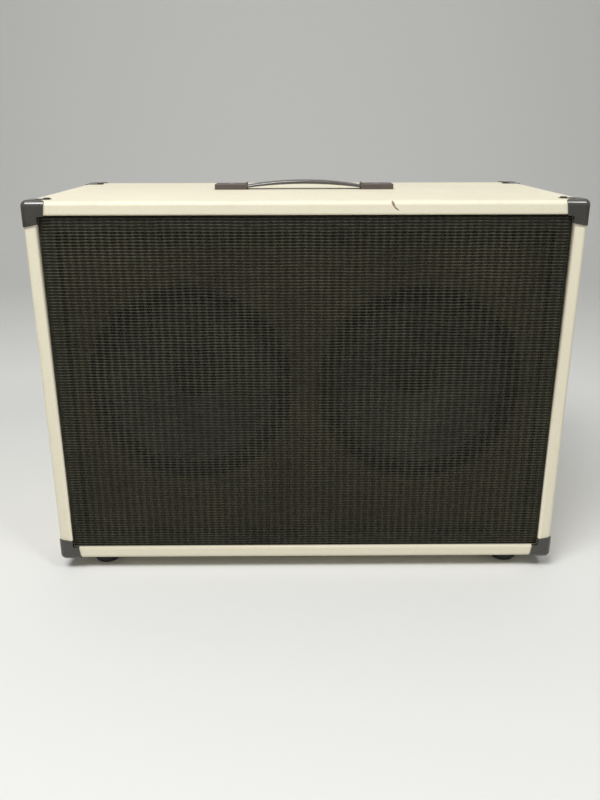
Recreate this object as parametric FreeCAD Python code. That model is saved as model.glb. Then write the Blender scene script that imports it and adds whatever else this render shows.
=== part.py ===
import FreeCAD, Part
import math
import os
from FreeCAD import Placement, Rotation, Vector

# Closed-back guitar speaker cabinet with two 12-inch loudspeakers, in millimetres.
# The origin is on the floor under the middle of the cabinet.
# +X is to the right seen from the front, the front faces -Y and +Z is up.

# Cabinet box, measured over its covering
CABINET_WIDTH = 720.0
CABINET_HEIGHT = 512.0
CABINET_DEPTH = 360.0
BOARD = 16.0
VINYL = 0.8
EDGE_RADIUS = 6.0
FINGER_COUNT = 15
BATTEN = 20.0

# Grille and baffle, from the front edge backwards
GRILLE_RECESS = 4.0
GRILLE_CLEARANCE = 0.7
CLOTH = 1.0
CLOTH_RETURN = 12.0
FRAME_DEPTH = 10.0
FRAME_RAIL = 19.0
PAD_DEPTH = 3.0
PAD_LENGTH = 50.0
BAFFLE = 15.0
CUTOUT_RADIUS = 142.0
CUTOUT_ROUND = 5.0

# Rear panel and jack
REAR_RECESS = 10.0
REAR_PANEL = 12.0
REAR_CLEARANCE = 1.0
JACK_HEIGHT = 110.0
JACK_HOLE_RADIUS = 22.0
JACK_PLATE_SIZE = 76.0
JACK_PLATE = 1.5
JACK_PLATE_CORNER = 6.0
JACK_BODY = 22.0
JACK_BODY_DEPTH = 34.0
JACK_BORE_RADIUS = 3.25
JACK_BUSH_RADIUS = 4.75
JACK_BUSH_REACH = 9.0
JACK_BUSH_INSIDE = 4.0
JACK_CHAMBER_RADIUS = 5.0
JACK_CHAMBER_END = 31.0
JACK_NUT_FLATS = 12.7
JACK_NUT = 3.0
JACK_TAG_OFFSET = 5.0
JACK_TAG_LENGTH = 8.0
JACK_TAG_WIDTH = 3.0
PLATE_SCREW_INSET = 9.0

# Loudspeakers, placed from the middle of the box
SPEAKER_OFFSET = 160.5
FLANGE_RADIUS = 154.5
BOLT_CIRCLE_RADIUS = 148.5
BOLT_COUNT = 8
CONE_RIM_RADIUS = 122.0
CONE_LIP = 5.0
CONE_DEPTH = 53.0
PAPER = 0.7
COIL_RADIUS = 22.2
FORMER = 0.4
WINDING = 0.4
GAP_CLEARANCE = 0.5
DUST_CAP_RADIUS = 32.0
DUST_CAP_RISE = 10.0
GASKET = 4.0
GASKET_INNER = 142.0
SURROUND_ROLLS = 2
SURROUND_END = 134.0
SURROUND_OUTER = 141.5
STEEL = 1.5
BASKET_MOUTH = 135.5
BASKET_RIM = 132.0
BASKET_RIM_DEPTH = 24.0
LEDGE_OUTER = 72.0
LEDGE_INNER = 58.0
SEAT_OUTER = 56.0
SEAT_INNER = 30.0
WINDOW_INNER = 84.0
WINDOW_OUTER = 122.0
WINDOW_WIDTH = 42.0
SPIDER_DEPTH = 65.0
SPIDER_ROLLS = 6
SPIDER_START = 27.0
SPIDER_END = 56.0
SPIDER_OUTER = 70.0
TOP_PLATE_DEPTH = 79.5
TOP_PLATE = 8.0
MAGNET = 20.0
MAGNET_RADIUS = 78.0
MAGNET_HOLE = 32.0
PLATE_RADIUS = 65.0
BACK_PLATE = 8.0
POLE_VENT = 8.0
WINDING_LENGTH = 13.0
WINDOW_COUNT = 8
TERMINAL_WIDTH = 28.0
TERMINAL_LENGTH = 14.0
TERMINAL_DEPTH = 15.0
TERMINAL_FLOOR = 141.0
TERMINAL_REACH = 149.0
TAG_OFFSET = 8.0
TAG_WIDTH = 6.3
TAG = 0.8

# Handle on the top
HANDLE_LENGTH = 268.0
HANDLE_BACK = 34.0
CAP_LENGTH = 48.5
CAP_WIDTH = 34.0
CAP_HEIGHT = 8.0
CAP_WALL = 1.6
CAP_EDGE = 1.2
CAP_LIP = 1.6
CAP_LIP_LENGTH = 2.5
STRAP_WIDTH = 26.0
STRAP_END = 3.8
STRAP_MIDDLE = 5.4
STRAP_TAB = 6.2
STRAP_RISE = 7.2
STRAP_ROUND = 2.4
STRAP_END_GAP = 4.0
STRAP_SLOT = 6.0

# Corner protectors, measured from the cabinet's corner along each edge
CORNER_WALL = 1.7
CORNER_ROUND = 8.0
CORNER_ACROSS = 29.5
CORNER_DOWN = 32.0
LEG_ACROSS = 27.0
LEG_DOWN = 28.5
CORNER_LIP = 1.2
LIP_DEPTH = 3.2
CORNER_WEB = 1.6
PATCH_SHOULDER = 2.0
PATCH_NECK = 13.0
PATCH_NECK_BACK = 15.0
PATCH_SCREW_ACROSS = 24.0
PATCH_SCREW_BACK = 33.0
PATCH_END = 0.7
EAR_RADIUS = 7.0

# Feet
FOOT_HEIGHT = 20.0
FOOT_SIDE = 301.5
FOOT_INSET = 40.0
FOOT_TOP_RADIUS = 22.0
FOOT_BOTTOM_RADIUS = 19.0
FOOT_WELL_RADIUS = 7.5
FOOT_WELL = 10.0

# Fasteners
SCREW_RADIUS = 2.0
SCREW_HEAD_RADIUS = 4.5
SCREW_HEAD = 1.3
CORNER_SCREW_LENGTH = 14.0
REAR_SCREW_LENGTH = 25.0
PLATE_SCREW_LENGTH = 13.0
FOOT_SCREW_LENGTH = 22.0
BOLT_RADIUS = 2.4
BOLT_HEAD = 4.0
BOLT_CLEARANCE = 0.5
TEE_NUT_RADIUS = 8.5
TEE_NUT = 1.2
TEE_BARREL_RADIUS = 3.4
TEE_BARREL = 9.0
TEE_CLEARANCE = 0.05
COUNTERSINK = 2.5

# Internal leads
LEAD_RADIUS = 2.5

# Planes of the box that the dimensions above give
SIDE = CABINET_WIDTH / 2
FRONT = -CABINET_DEPTH / 2
REAR = CABINET_DEPTH / 2
LOW = FOOT_HEIGHT
HIGH = FOOT_HEIGHT + CABINET_HEIGHT
MIDDLE = (LOW + HIGH) / 2
INNER_SIDE = SIDE - VINYL - BOARD
INNER_LOW = LOW + VINYL + BOARD
INNER_HIGH = HIGH - VINYL - BOARD
OPEN_SIDE = INNER_SIDE - VINYL
OPEN_LOW = INNER_LOW + VINYL
OPEN_HIGH = INNER_HIGH - VINYL
CLOTH_FRONT = FRONT + GRILLE_RECESS
FRAME_FRONT = CLOTH_FRONT + CLOTH
FRAME_BACK = FRAME_FRONT + FRAME_DEPTH
CLOTH_BACK = FRAME_BACK + CLOTH
BAFFLE_FRONT = CLOTH_BACK + PAD_DEPTH
BAFFLE_BACK = BAFFLE_FRONT + BAFFLE
PANEL_OUTER = REAR - REAR_RECESS
PANEL_INNER = PANEL_OUTER - REAR_PANEL
SPEAKER_HEIGHT = MIDDLE
FLANGE_BACK = BAFFLE_BACK + GASKET + STEEL
FORMER_RADIUS = COIL_RADIUS + FORMER
PATCH_BACK = PATCH_SCREW_BACK + EAR_RADIUS
PATCH_SLOPE = (CORNER_WALL - PATCH_END) / (CORNER_WALL + PATCH_BACK)
PATCH_SEAT = CORNER_WALL - PATCH_SLOPE * (CORNER_WALL + PATCH_SCREW_BACK)

ALONG_X = Vector(1, 0, 0)
ALONG_Y = Vector(0, 1, 0)
ALONG_Z = Vector(0, 0, 1)
ORIGIN = Vector(0, 0, 0)
MARGIN = 10.0


def block(x_low, x_high, y_low, y_high, z_low, z_high):
    """A box between two planes on each axis."""
    return Part.makeBox(x_high - x_low, y_high - y_low, z_high - z_low, Vector(x_low, y_low, z_low))


def outward(solid):
    """The solid with its faces turned outwards."""
    if solid.Volume < 0:
        solid.reverse()
    return solid


def cabinet_box(grow, radius):
    """The cabinet's outline, grown by a distance, with every edge rounded."""
    box = block(-SIDE - grow, SIDE + grow, FRONT - grow, REAR + grow, LOW - grow, HIGH + grow)
    return box.makeFillet(radius, box.Edges)


def prism(points, direction):
    """A flat outline drawn out along a direction."""
    return outward(Part.Face(Part.makePolygon(points + points[:1])).extrude(direction))


def turned(outline):
    """A ring or disc turned about the Y axis from points of radius and depth."""
    points = [Vector(radius, depth, 0) for radius, depth in outline]
    face = Part.Face(Part.makePolygon(points + points[:1]))
    return outward(face.revolve(ORIGIN, ALONG_Y, 360))


def placed(shape, position, direction):
    """A copy of a shape made along +Z, moved to a position and turned to a direction."""
    copy = shape.copy()
    copy.Placement = Placement(position, Rotation(ALONG_Z, direction))
    return copy


def mirrored(shape, normal):
    """The shape's mirror image in the plane through the origin with that normal."""
    return outward(shape.mirror(ORIGIN, normal))


def single(shape):
    """The only solid of a shape."""
    solids = shape.Solids
    if len(solids) != 1:
        raise ValueError("expected one solid, found %d" % len(solids))
    return outward(solids[0])


def save(node, solids):
    """Write one node, a list of closed solids, as a STEP file."""
    for solid in solids:
        if not solid.isValid() or solid.Volume <= 0:
            raise ValueError("%s holds a solid that isn't sound" % node)
    shape = solids[0] if len(solids) == 1 else Part.makeCompound(solids)
    shape.exportStep("parts/%s.step" % node)
    return shape.BoundBox


def pan_screw(length):
    """A pan-head screw with a cross recess, its head above the plane Z = 0 and its shank below."""
    head = Part.makeCylinder(SCREW_HEAD_RADIUS, SCREW_HEAD)
    rim = [edge for edge in head.Edges if edge.BoundBox.ZMin > SCREW_HEAD - 0.01]
    head = head.makeFillet(SCREW_HEAD * 0.6, rim)
    slot = SCREW_HEAD_RADIUS * 0.55
    width = SCREW_HEAD_RADIUS * 0.1
    depth = SCREW_HEAD * 0.45
    across = block(-slot, slot, -width, width, depth, SCREW_HEAD + 1)
    along = block(-width, width, -slot, slot, depth, SCREW_HEAD + 1)
    shank = Part.makeCylinder(SCREW_RADIUS, length, ORIGIN, -ALONG_Z)
    return single(head.fuse(shank).cut([across, along]))


def carcass_ring():
    """The four boards as one rounded ring, open at the front and the rear."""
    outer = cabinet_box(-VINYL, EDGE_RADIUS - VINYL)
    inner = block(-INNER_SIDE, INNER_SIDE, FRONT, REAR, INNER_LOW, INNER_HIGH)
    return outer.cut(inner)


def finger_cells(parity):
    """Every second cell of the finger joints along the four long corners of the box."""
    pitch = CABINET_DEPTH / FINGER_COUNT
    cells = []
    for index in range(parity, FINGER_COUNT, 2):
        start = FRONT + index * pitch
        for x_low, x_high in ((-SIDE, -INNER_SIDE), (INNER_SIDE, SIDE)):
            cells.append(block(x_low, x_high, start, start + pitch, LOW, INNER_LOW))
            cells.append(block(x_low, x_high, start, start + pitch, INNER_HIGH, HIGH))
    return cells


def boards(fasteners):
    """The top, bottom and side boards with interlocking fingers and screw holes."""
    ring = carcass_ring()
    slabs = {
        "top_board": (block(-SIDE, SIDE, FRONT, REAR, INNER_HIGH, HIGH), 1),
        "bottom_board": (block(-SIDE, SIDE, FRONT, REAR, LOW, INNER_LOW), 1),
        "left_board": (block(-SIDE, -INNER_SIDE, FRONT, REAR, LOW, HIGH), 0),
        "right_board": (block(INNER_SIDE, SIDE, FRONT, REAR, LOW, HIGH), 0),
    }
    return {node: single(ring.common(slab).cut(finger_cells(parity)).cut(fasteners))
            for node, (slab, parity) in slabs.items()}


def vinyl_covering(fasteners):
    """The covering over the boards, turned in at the front and the rear."""
    opening = block(-OPEN_SIDE, OPEN_SIDE, FRONT - 1, REAR + 1, OPEN_LOW, OPEN_HIGH)
    bare = block(-INNER_SIDE, INNER_SIDE, BAFFLE_FRONT, PANEL_INNER, INNER_LOW, INNER_HIGH)
    skin = cabinet_box(0, EDGE_RADIUS).cut([opening, bare]).cut(carcass_ring())
    return single(skin.cut(fasteners))


def batten_frame(y_low):
    """Four battens glued round the inside of the box."""
    y_high = y_low + BATTEN
    reach = INNER_SIDE - BATTEN
    return [
        block(-INNER_SIDE, INNER_SIDE, y_low, y_high, INNER_HIGH - BATTEN, INNER_HIGH),
        block(-INNER_SIDE, INNER_SIDE, y_low, y_high, INNER_LOW, INNER_LOW + BATTEN),
        block(-INNER_SIDE, -reach, y_low, y_high, INNER_LOW + BATTEN, INNER_HIGH - BATTEN),
        block(reach, INNER_SIDE, y_low, y_high, INNER_LOW + BATTEN, INNER_HIGH - BATTEN),
    ]


def centre_brace():
    """The post between the baffle and the rear panel, above the gap between the loudspeakers."""
    half = BATTEN * 0.75
    height = SPEAKER_HEIGHT + FLANGE_RADIUS * 0.8
    return block(-half, half, BAFFLE_BACK, PANEL_INNER, height - half, height + half)


def grille_block(inset, y_low, y_high):
    """A block that fills the grille's opening, less an inset."""
    side = OPEN_SIDE - GRILLE_CLEARANCE - inset
    low = OPEN_LOW + GRILLE_CLEARANCE + inset
    high = OPEN_HIGH - GRILLE_CLEARANCE - inset
    return block(-side, side, y_low, y_high, low, high)


def grille_frame():
    """The wooden frame that the cloth is stretched over."""
    window = grille_block(CLOTH + FRAME_RAIL, FRAME_FRONT - 1, FRAME_BACK + 1)
    return grille_block(CLOTH, FRAME_FRONT, FRAME_BACK).cut(window)


def grille_cloth():
    """The cloth over the frame's front and edges, turned in behind it."""
    wrapped = grille_block(0, CLOTH_FRONT, CLOTH_BACK)
    inside = grille_block(CLOTH, FRAME_FRONT, FRAME_BACK)
    open_back = grille_block(CLOTH + CLOTH_RETURN, FRAME_BACK - 1, CLOTH_BACK + 1)
    return single(wrapped.cut([inside, open_back]))


def grille_pads():
    """Hook-and-loop pads between the grille and the baffle."""
    side = OPEN_SIDE - GRILLE_CLEARANCE - CLOTH
    low = OPEN_LOW + GRILLE_CLEARANCE + CLOTH
    high = OPEN_HIGH - GRILLE_CLEARANCE - CLOTH
    half = PAD_LENGTH / 2
    pads = []
    for share in (-0.75, 0.0, 0.75):
        x = share * side
        for z in (low, high - CLOTH_RETURN):
            pads.append(block(x - half, x + half, CLOTH_BACK, BAFFLE_FRONT, z, z + CLOTH_RETURN))
    for x in (-side, side - CLOTH_RETURN):
        pads.append(block(x, x + CLOTH_RETURN, CLOTH_BACK, BAFFLE_FRONT, MIDDLE - half, MIDDLE + half))
    return pads


def baffle_board(fasteners):
    """The board that carries the loudspeakers, its two cut-outs rounded at the front."""
    board = block(-INNER_SIDE, INNER_SIDE, BAFFLE_FRONT, BAFFLE_BACK, INNER_LOW, INNER_HIGH)
    for x in (-SPEAKER_OFFSET, SPEAKER_OFFSET):
        centre = Vector(x, BAFFLE_FRONT - 1, SPEAKER_HEIGHT)
        board = board.cut(Part.makeCylinder(CUTOUT_RADIUS, BAFFLE + 2, centre, ALONG_Y))
    rims = [edge for edge in board.Edges
            if isinstance(edge.Curve, Part.Circle) and edge.BoundBox.YMax < BAFFLE_FRONT + 0.01]
    return single(board.makeFillet(CUTOUT_ROUND, rims).cut(fasteners))


def rear_panel(fasteners):
    """The closed back, set in from the rear edge, with the hole for the jack."""
    side = OPEN_SIDE - REAR_CLEARANCE
    low = OPEN_LOW + REAR_CLEARANCE
    high = OPEN_HIGH - REAR_CLEARANCE
    inside = Vector(0, PANEL_INNER - 1, JACK_HEIGHT)
    hole = Part.makeCylinder(JACK_HOLE_RADIUS, REAR_PANEL + 2, inside, ALONG_Y)
    return single(block(-side, side, PANEL_INNER, PANEL_OUTER, low, high).cut([hole] + fasteners))


def rear_screws():
    """The screws of the rear panel and of the jack plate."""
    long_screw = pan_screw(REAR_SCREW_LENGTH)
    short_screw = pan_screw(PLATE_SCREW_LENGTH)
    side = INNER_SIDE - BATTEN / 2
    low = INNER_LOW + BATTEN / 2
    high = INNER_HIGH - BATTEN / 2
    places = [(x, z) for x in (-side, side) for z in (low, MIDDLE, high)]
    places += [(x, z) for x in (-side / 3, side / 3) for z in (low, high)]
    panel = [placed(long_screw, Vector(x, PANEL_OUTER, z), ALONG_Y) for x, z in places]
    reach = JACK_PLATE_SIZE / 2 - PLATE_SCREW_INSET
    face = PANEL_OUTER + JACK_PLATE
    plate = [placed(short_screw, Vector(x, face, JACK_HEIGHT + z), ALONG_Y)
             for x in (-reach, reach) for z in (-reach, reach)]
    return panel + plate


def jack_plate(fasteners):
    """The steel plate that carries the jack socket."""
    half = JACK_PLATE_SIZE / 2
    face = PANEL_OUTER + JACK_PLATE
    plate = block(-half, half, PANEL_OUTER, face, JACK_HEIGHT - half, JACK_HEIGHT + half)
    uprights = [edge for edge in plate.Edges if edge.BoundBox.YLength > JACK_PLATE / 2]
    plate = plate.makeFillet(JACK_PLATE_CORNER, uprights)
    hole = Part.makeCylinder(JACK_BUSH_RADIUS + 0.1, 9, Vector(0, PANEL_OUTER - 1, JACK_HEIGHT), ALONG_Y)
    return single(plate.cut([hole] + fasteners))


def jack_socket():
    """The quarter-inch socket: body, threaded bush, plug chamber and two solder tags."""
    half = JACK_BODY / 2
    back = PANEL_OUTER - JACK_BODY_DEPTH
    body = block(-half, half, back, PANEL_OUTER, JACK_HEIGHT - half, JACK_HEIGHT + half)
    mouth = Vector(0, PANEL_OUTER + JACK_BUSH_REACH, JACK_HEIGHT)
    bush = Part.makeCylinder(JACK_BUSH_RADIUS, JACK_BUSH_REACH + 1, mouth, -ALONG_Y)
    tags = [block(x - JACK_TAG_WIDTH / 2, x + JACK_TAG_WIDTH / 2, back - JACK_TAG_LENGTH, back + 1,
                  JACK_HEIGHT - TAG / 2, JACK_HEIGHT + TAG / 2) for x in (-JACK_TAG_OFFSET, JACK_TAG_OFFSET)]
    bore = Part.makeCylinder(JACK_BORE_RADIUS, JACK_BUSH_REACH + JACK_BUSH_INSIDE + 1, mouth, -ALONG_Y)
    inside = Vector(0, PANEL_OUTER - JACK_BUSH_INSIDE, JACK_HEIGHT)
    chamber = Part.makeCylinder(JACK_CHAMBER_RADIUS, JACK_CHAMBER_END - JACK_BUSH_INSIDE, inside, -ALONG_Y)
    return single(body.fuse([bush] + tags).cut([bore, chamber]))


def jack_nut():
    """The hexagon nut that clamps the socket to its plate."""
    radius = JACK_NUT_FLATS / math.sqrt(3)
    face = PANEL_OUTER + JACK_PLATE
    corners = []
    for index in range(6):
        angle = math.radians(60 * index)
        corners.append(Vector(radius * math.cos(angle), face, JACK_HEIGHT + radius * math.sin(angle)))
    hole = Part.makeCylinder(JACK_BUSH_RADIUS + 0.05, JACK_NUT + 2, Vector(0, face - 1, JACK_HEIGHT), ALONG_Y)
    return single(prism(corners, ALONG_Y * JACK_NUT).cut(hole))


def bolt_angles():
    """The angles of the loudspeaker bolts round the flange."""
    return [math.radians((index + 0.5) * 360 / BOLT_COUNT) for index in range(BOLT_COUNT)]


def bolt_holes(depth_low, depth_high):
    """Cylinders for the bolt holes of one loudspeaker, about the Y axis."""
    holes = []
    for angle in bolt_angles():
        x = BOLT_CIRCLE_RADIUS * math.cos(angle)
        z = BOLT_CIRCLE_RADIUS * math.sin(angle)
        holes.append(Part.makeCylinder(BOLT_RADIUS + BOLT_CLEARANCE, depth_high - depth_low,
                                       Vector(x, depth_low, z), ALONG_Y))
    return holes


def bolt_places():
    """The bolts' places on the baffle's front for both loudspeakers."""
    places = []
    for x in (-SPEAKER_OFFSET, SPEAKER_OFFSET):
        for angle in bolt_angles():
            places.append(Vector(x + BOLT_CIRCLE_RADIUS * math.cos(angle), BAFFLE_FRONT,
                                 SPEAKER_HEIGHT + BOLT_CIRCLE_RADIUS * math.sin(angle)))
    return places


def speaker_bolts():
    """The bolts through the flanges and the baffle into the tee nuts."""
    bolts = []
    for place in bolt_places():
        seat = Vector(place.x, FLANGE_BACK, place.z)
        head = Part.makeCylinder(SCREW_HEAD_RADIUS, BOLT_HEAD, seat, ALONG_Y)
        shank = Part.makeCylinder(BOLT_RADIUS, FLANGE_BACK - BAFFLE_FRONT + TEE_NUT, seat, -ALONG_Y)
        bolts.append(single(head.fuse(shank)))
    return bolts


def tee_nut():
    """A tee nut with its flange below the plane Z = 0 and its barrel above."""
    flange = Part.makeCylinder(TEE_NUT_RADIUS, TEE_NUT, ORIGIN, -ALONG_Z)
    barrel = Part.makeCylinder(TEE_BARREL_RADIUS, TEE_BARREL)
    length = TEE_BARREL + TEE_NUT + 2
    bore = Part.makeCylinder(BOLT_RADIUS + TEE_CLEARANCE, length, Vector(0, 0, -TEE_NUT - 1))
    return single(flange.fuse(barrel).cut(bore))


def tee_nuts():
    """The tee nuts of the loudspeakers and of the handle."""
    nut = tee_nut()
    nuts = [placed(nut, place, ALONG_Y) for place in bolt_places()]
    return nuts + [placed(nut, Vector(x, HANDLE_BACK, INNER_HIGH), ALONG_Z) for x in handle_screw_places()]


def fastener_bores(places, start, length, direction):
    """Cylinders that clear the tee nuts' barrels and the bolts, for boards to be cut by."""
    hole = BOLT_RADIUS + BOLT_CLEARANCE
    bores = []
    for place in places:
        bores.append(Part.makeCylinder(TEE_BARREL_RADIUS, TEE_BARREL, place, direction))
        bores.append(Part.makeCylinder(hole, length, place + direction * start, direction))
    return bores


def corrugated(inner, start, end, outer, rolls, thickness, depth):
    """A ring of half-round rolls between two flat lips, turned about the Y axis."""
    roll = (end - start) / (2 * rolls)
    half = thickness / 2
    front = []
    back = []
    for index in range(rolls):
        middle = start + roll * (2 * index + 1)
        way = -1 if index % 2 == 0 else 1
        for edges, radius in ((front, roll - way * half), (back, roll + way * half)):
            left = Vector(middle - radius, depth, 0)
            top = Vector(middle, depth + way * radius, 0)
            right = Vector(middle + radius, depth, 0)
            edges.append(Part.Arc(left, top, right).toShape())
    inner_lip = [Vector(start + half, depth, 0), Vector(start + half, depth + thickness, 0),
                 Vector(inner, depth + thickness, 0), Vector(inner, depth, 0), Vector(start - half, depth, 0)]
    outer_lip = [Vector(end - half, depth, 0), Vector(end - half, depth - thickness, 0),
                 Vector(outer, depth - thickness, 0), Vector(outer, depth, 0), Vector(end + half, depth, 0)]
    edges = front + back + Part.makePolygon(inner_lip).Edges + Part.makePolygon(outer_lip).Edges
    face = Part.Face(Part.Wire(Part.__sortEdges__(edges)))
    return outward(face.revolve(ORIGIN, ALONG_Y, 360))


def cone_depth(radius):
    """The depth of the cone's front face at a radius."""
    slope_start = CONE_RIM_RADIUS - CONE_LIP
    share = (slope_start - radius) / (slope_start - FORMER_RADIUS)
    return GASKET + PAPER + share * CONE_DEPTH


def speaker_basket():
    """The pressed steel chassis: flange, rim, spokes, spider ledge and seat for the top plate."""
    seat = TOP_PLATE_DEPTH
    inside = [(FLANGE_RADIUS, GASKET), (BASKET_MOUTH, GASKET), (BASKET_RIM, BASKET_RIM_DEPTH),
              (LEDGE_OUTER, SPIDER_DEPTH), (LEDGE_INNER, SPIDER_DEPTH), (SEAT_OUTER, seat - STEEL),
              (SEAT_INNER, seat - STEEL)]
    outside = [(SEAT_INNER, seat), (SEAT_OUTER + STEEL, seat), (LEDGE_INNER + STEEL, SPIDER_DEPTH + STEEL),
               (LEDGE_OUTER + STEEL, SPIDER_DEPTH + STEEL), (BASKET_RIM + STEEL, BASKET_RIM_DEPTH + STEEL),
               (BASKET_MOUTH + STEEL, GASKET + STEEL), (FLANGE_RADIUS, GASKET + STEEL)]
    basket = turned(inside + outside)
    half = WINDOW_WIDTH / 2
    windows = []
    for index in range(WINDOW_COUNT):
        window = block(WINDOW_INNER, WINDOW_OUTER, BASKET_RIM_DEPTH, seat, -half, half)
        window.rotate(ORIGIN, ALONG_Y, (index + 0.5) * 360 / WINDOW_COUNT)
        windows.append(window)
    return single(basket.cut(windows + bolt_holes(0, 2 * GASKET)))


def speaker_gasket():
    """The ring between the flange and the baffle."""
    ring = turned([(GASKET_INNER, 0), (FLANGE_RADIUS, 0), (FLANGE_RADIUS, GASKET), (GASKET_INNER, GASKET)])
    return single(ring.cut(bolt_holes(-1, 2 * GASKET)))


def speaker_surround():
    """The rolled edge between the flange and the cone."""
    return corrugated(CONE_RIM_RADIUS - CONE_LIP, CONE_RIM_RADIUS, SURROUND_END, SURROUND_OUTER,
                      SURROUND_ROLLS, PAPER, GASKET)


def speaker_cone():
    """The paper cone, glued to the surround at its rim and to the former at its neck."""
    slope_start = CONE_RIM_RADIUS - CONE_LIP
    rim = GASKET + PAPER
    neck = cone_depth(FORMER_RADIUS)
    return turned([(CONE_RIM_RADIUS, rim), (slope_start, rim), (FORMER_RADIUS, neck),
                   (FORMER_RADIUS, neck + PAPER), (slope_start - PAPER / 2, rim + PAPER),
                   (CONE_RIM_RADIUS, rim + PAPER)])


def speaker_dust_cap():
    """The dome over the cone's neck."""
    foot = DUST_CAP_RADIUS - PAPER
    outer_foot = Vector(DUST_CAP_RADIUS, cone_depth(DUST_CAP_RADIUS), 0)
    inner_foot = Vector(foot, cone_depth(foot), 0)
    crown = outer_foot.y - DUST_CAP_RISE
    dome = (DUST_CAP_RADIUS ** 2 + DUST_CAP_RISE ** 2) / (2 * DUST_CAP_RISE)
    half_turn = math.asin(DUST_CAP_RADIUS / dome) / 2
    shoulder = Vector(dome * math.sin(half_turn), crown + dome * (1 - math.cos(half_turn)), 0)
    inner_shoulder = Vector((dome - PAPER) * math.sin(half_turn), shoulder.y + PAPER * math.cos(half_turn), 0)
    edges = [
        Part.Arc(outer_foot, shoulder, Vector(0, crown, 0)).toShape(),
        Part.makeLine(Vector(0, crown, 0), Vector(0, crown + PAPER, 0)),
        Part.Arc(Vector(0, crown + PAPER, 0), inner_shoulder, inner_foot).toShape(),
        Part.makeLine(inner_foot, outer_foot),
    ]
    return outward(Part.Face(Part.Wire(edges)).revolve(ORIGIN, ALONG_Y, 360))


def speaker_voice_coil():
    """The former and its winding, hanging in the magnet's gap."""
    top = cone_depth(FORMER_RADIUS) - 2.5
    end = TOP_PLATE_DEPTH + TOP_PLATE
    winding = end - WINDING_LENGTH
    outer = FORMER_RADIUS + WINDING
    return turned([(COIL_RADIUS, top), (FORMER_RADIUS, top), (FORMER_RADIUS, winding),
                   (outer, winding), (outer, end), (COIL_RADIUS, end)])


def speaker_spider():
    """The corrugated disc that centres the voice coil."""
    return corrugated(FORMER_RADIUS, SPIDER_START, SPIDER_END, SPIDER_OUTER,
                      SPIDER_ROLLS, PAPER, SPIDER_DEPTH)


def speaker_top_plate():
    """The steel plate round the front of the gap."""
    hole = FORMER_RADIUS + WINDING + GAP_CLEARANCE
    start = TOP_PLATE_DEPTH
    end = start + TOP_PLATE
    return turned([(hole, start), (PLATE_RADIUS, start), (PLATE_RADIUS, end), (hole, end)])


def speaker_magnet():
    """The ferrite ring."""
    front = TOP_PLATE_DEPTH + TOP_PLATE
    back = front + MAGNET
    return turned([(MAGNET_HOLE, front), (MAGNET_RADIUS, front), (MAGNET_RADIUS, back), (MAGNET_HOLE, back)])


def speaker_back_plate():
    """The rear plate with its pole piece and vent."""
    front = TOP_PLATE_DEPTH + TOP_PLATE + MAGNET
    end = front + BACK_PLATE
    pole = COIL_RADIUS - GAP_CLEARANCE
    start = TOP_PLATE_DEPTH
    return turned([(POLE_VENT, start), (pole, start), (pole, front), (PLATE_RADIUS, front),
                   (PLATE_RADIUS, end), (POLE_VENT, end)])


def speaker_terminals():
    """The terminal block under the rim with two blade tags."""
    rim_end = BASKET_RIM_DEPTH + STEEL
    mouth = (BASKET_MOUTH + STEEL, GASKET + STEEL)
    rim = turned([(0, 0), mouth, (BASKET_RIM + STEEL, rim_end), (0, rim_end)])
    half = TERMINAL_WIDTH / 2
    front = TERMINAL_DEPTH - TERMINAL_LENGTH / 2
    body = block(-half, half, front, front + TERMINAL_LENGTH, -TERMINAL_FLOOR, -BASKET_RIM).cut(rim)
    tags = [block(x - TAG_WIDTH / 2, x + TAG_WIDTH / 2, TERMINAL_DEPTH - TAG / 2, TERMINAL_DEPTH + TAG / 2,
                  -TERMINAL_REACH, 1 - TERMINAL_FLOOR) for x in (-TAG_OFFSET, TAG_OFFSET)]
    return single(body.fuse(tags))


SPEAKER_PIECES = {
    "basket": speaker_basket,
    "gasket": speaker_gasket,
    "surround": speaker_surround,
    "cone": speaker_cone,
    "dust_cap": speaker_dust_cap,
    "voice_coil": speaker_voice_coil,
    "spider": speaker_spider,
    "top_plate": speaker_top_plate,
    "magnet": speaker_magnet,
    "back_plate": speaker_back_plate,
    "terminals": speaker_terminals,
}


def tangent_path(points):
    """Straight runs through the points, with each corner turned by a tangent arc."""
    edges = []
    start = points[0]
    for before, corner, after in zip(points, points[1:], points[2:]):
        back = (before - corner).normalize()
        ahead = (after - corner).normalize()
        turn = math.pi - back.getAngle(ahead)
        trim = 0.45 * min((before - corner).Length, (after - corner).Length)
        entry = corner + back * trim
        leave = corner + ahead * trim
        radius = trim / math.tan(turn / 2)
        inward = (back + ahead).normalize()
        middle = corner + inward * (radius / math.cos(turn / 2) - radius)
        edges.append(Part.makeLine(start, entry))
        edges.append(Part.Arc(entry, middle, leave).toShape())
        start = leave
    edges.append(Part.makeLine(start, points[-1]))
    return Part.Wire(edges)


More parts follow.
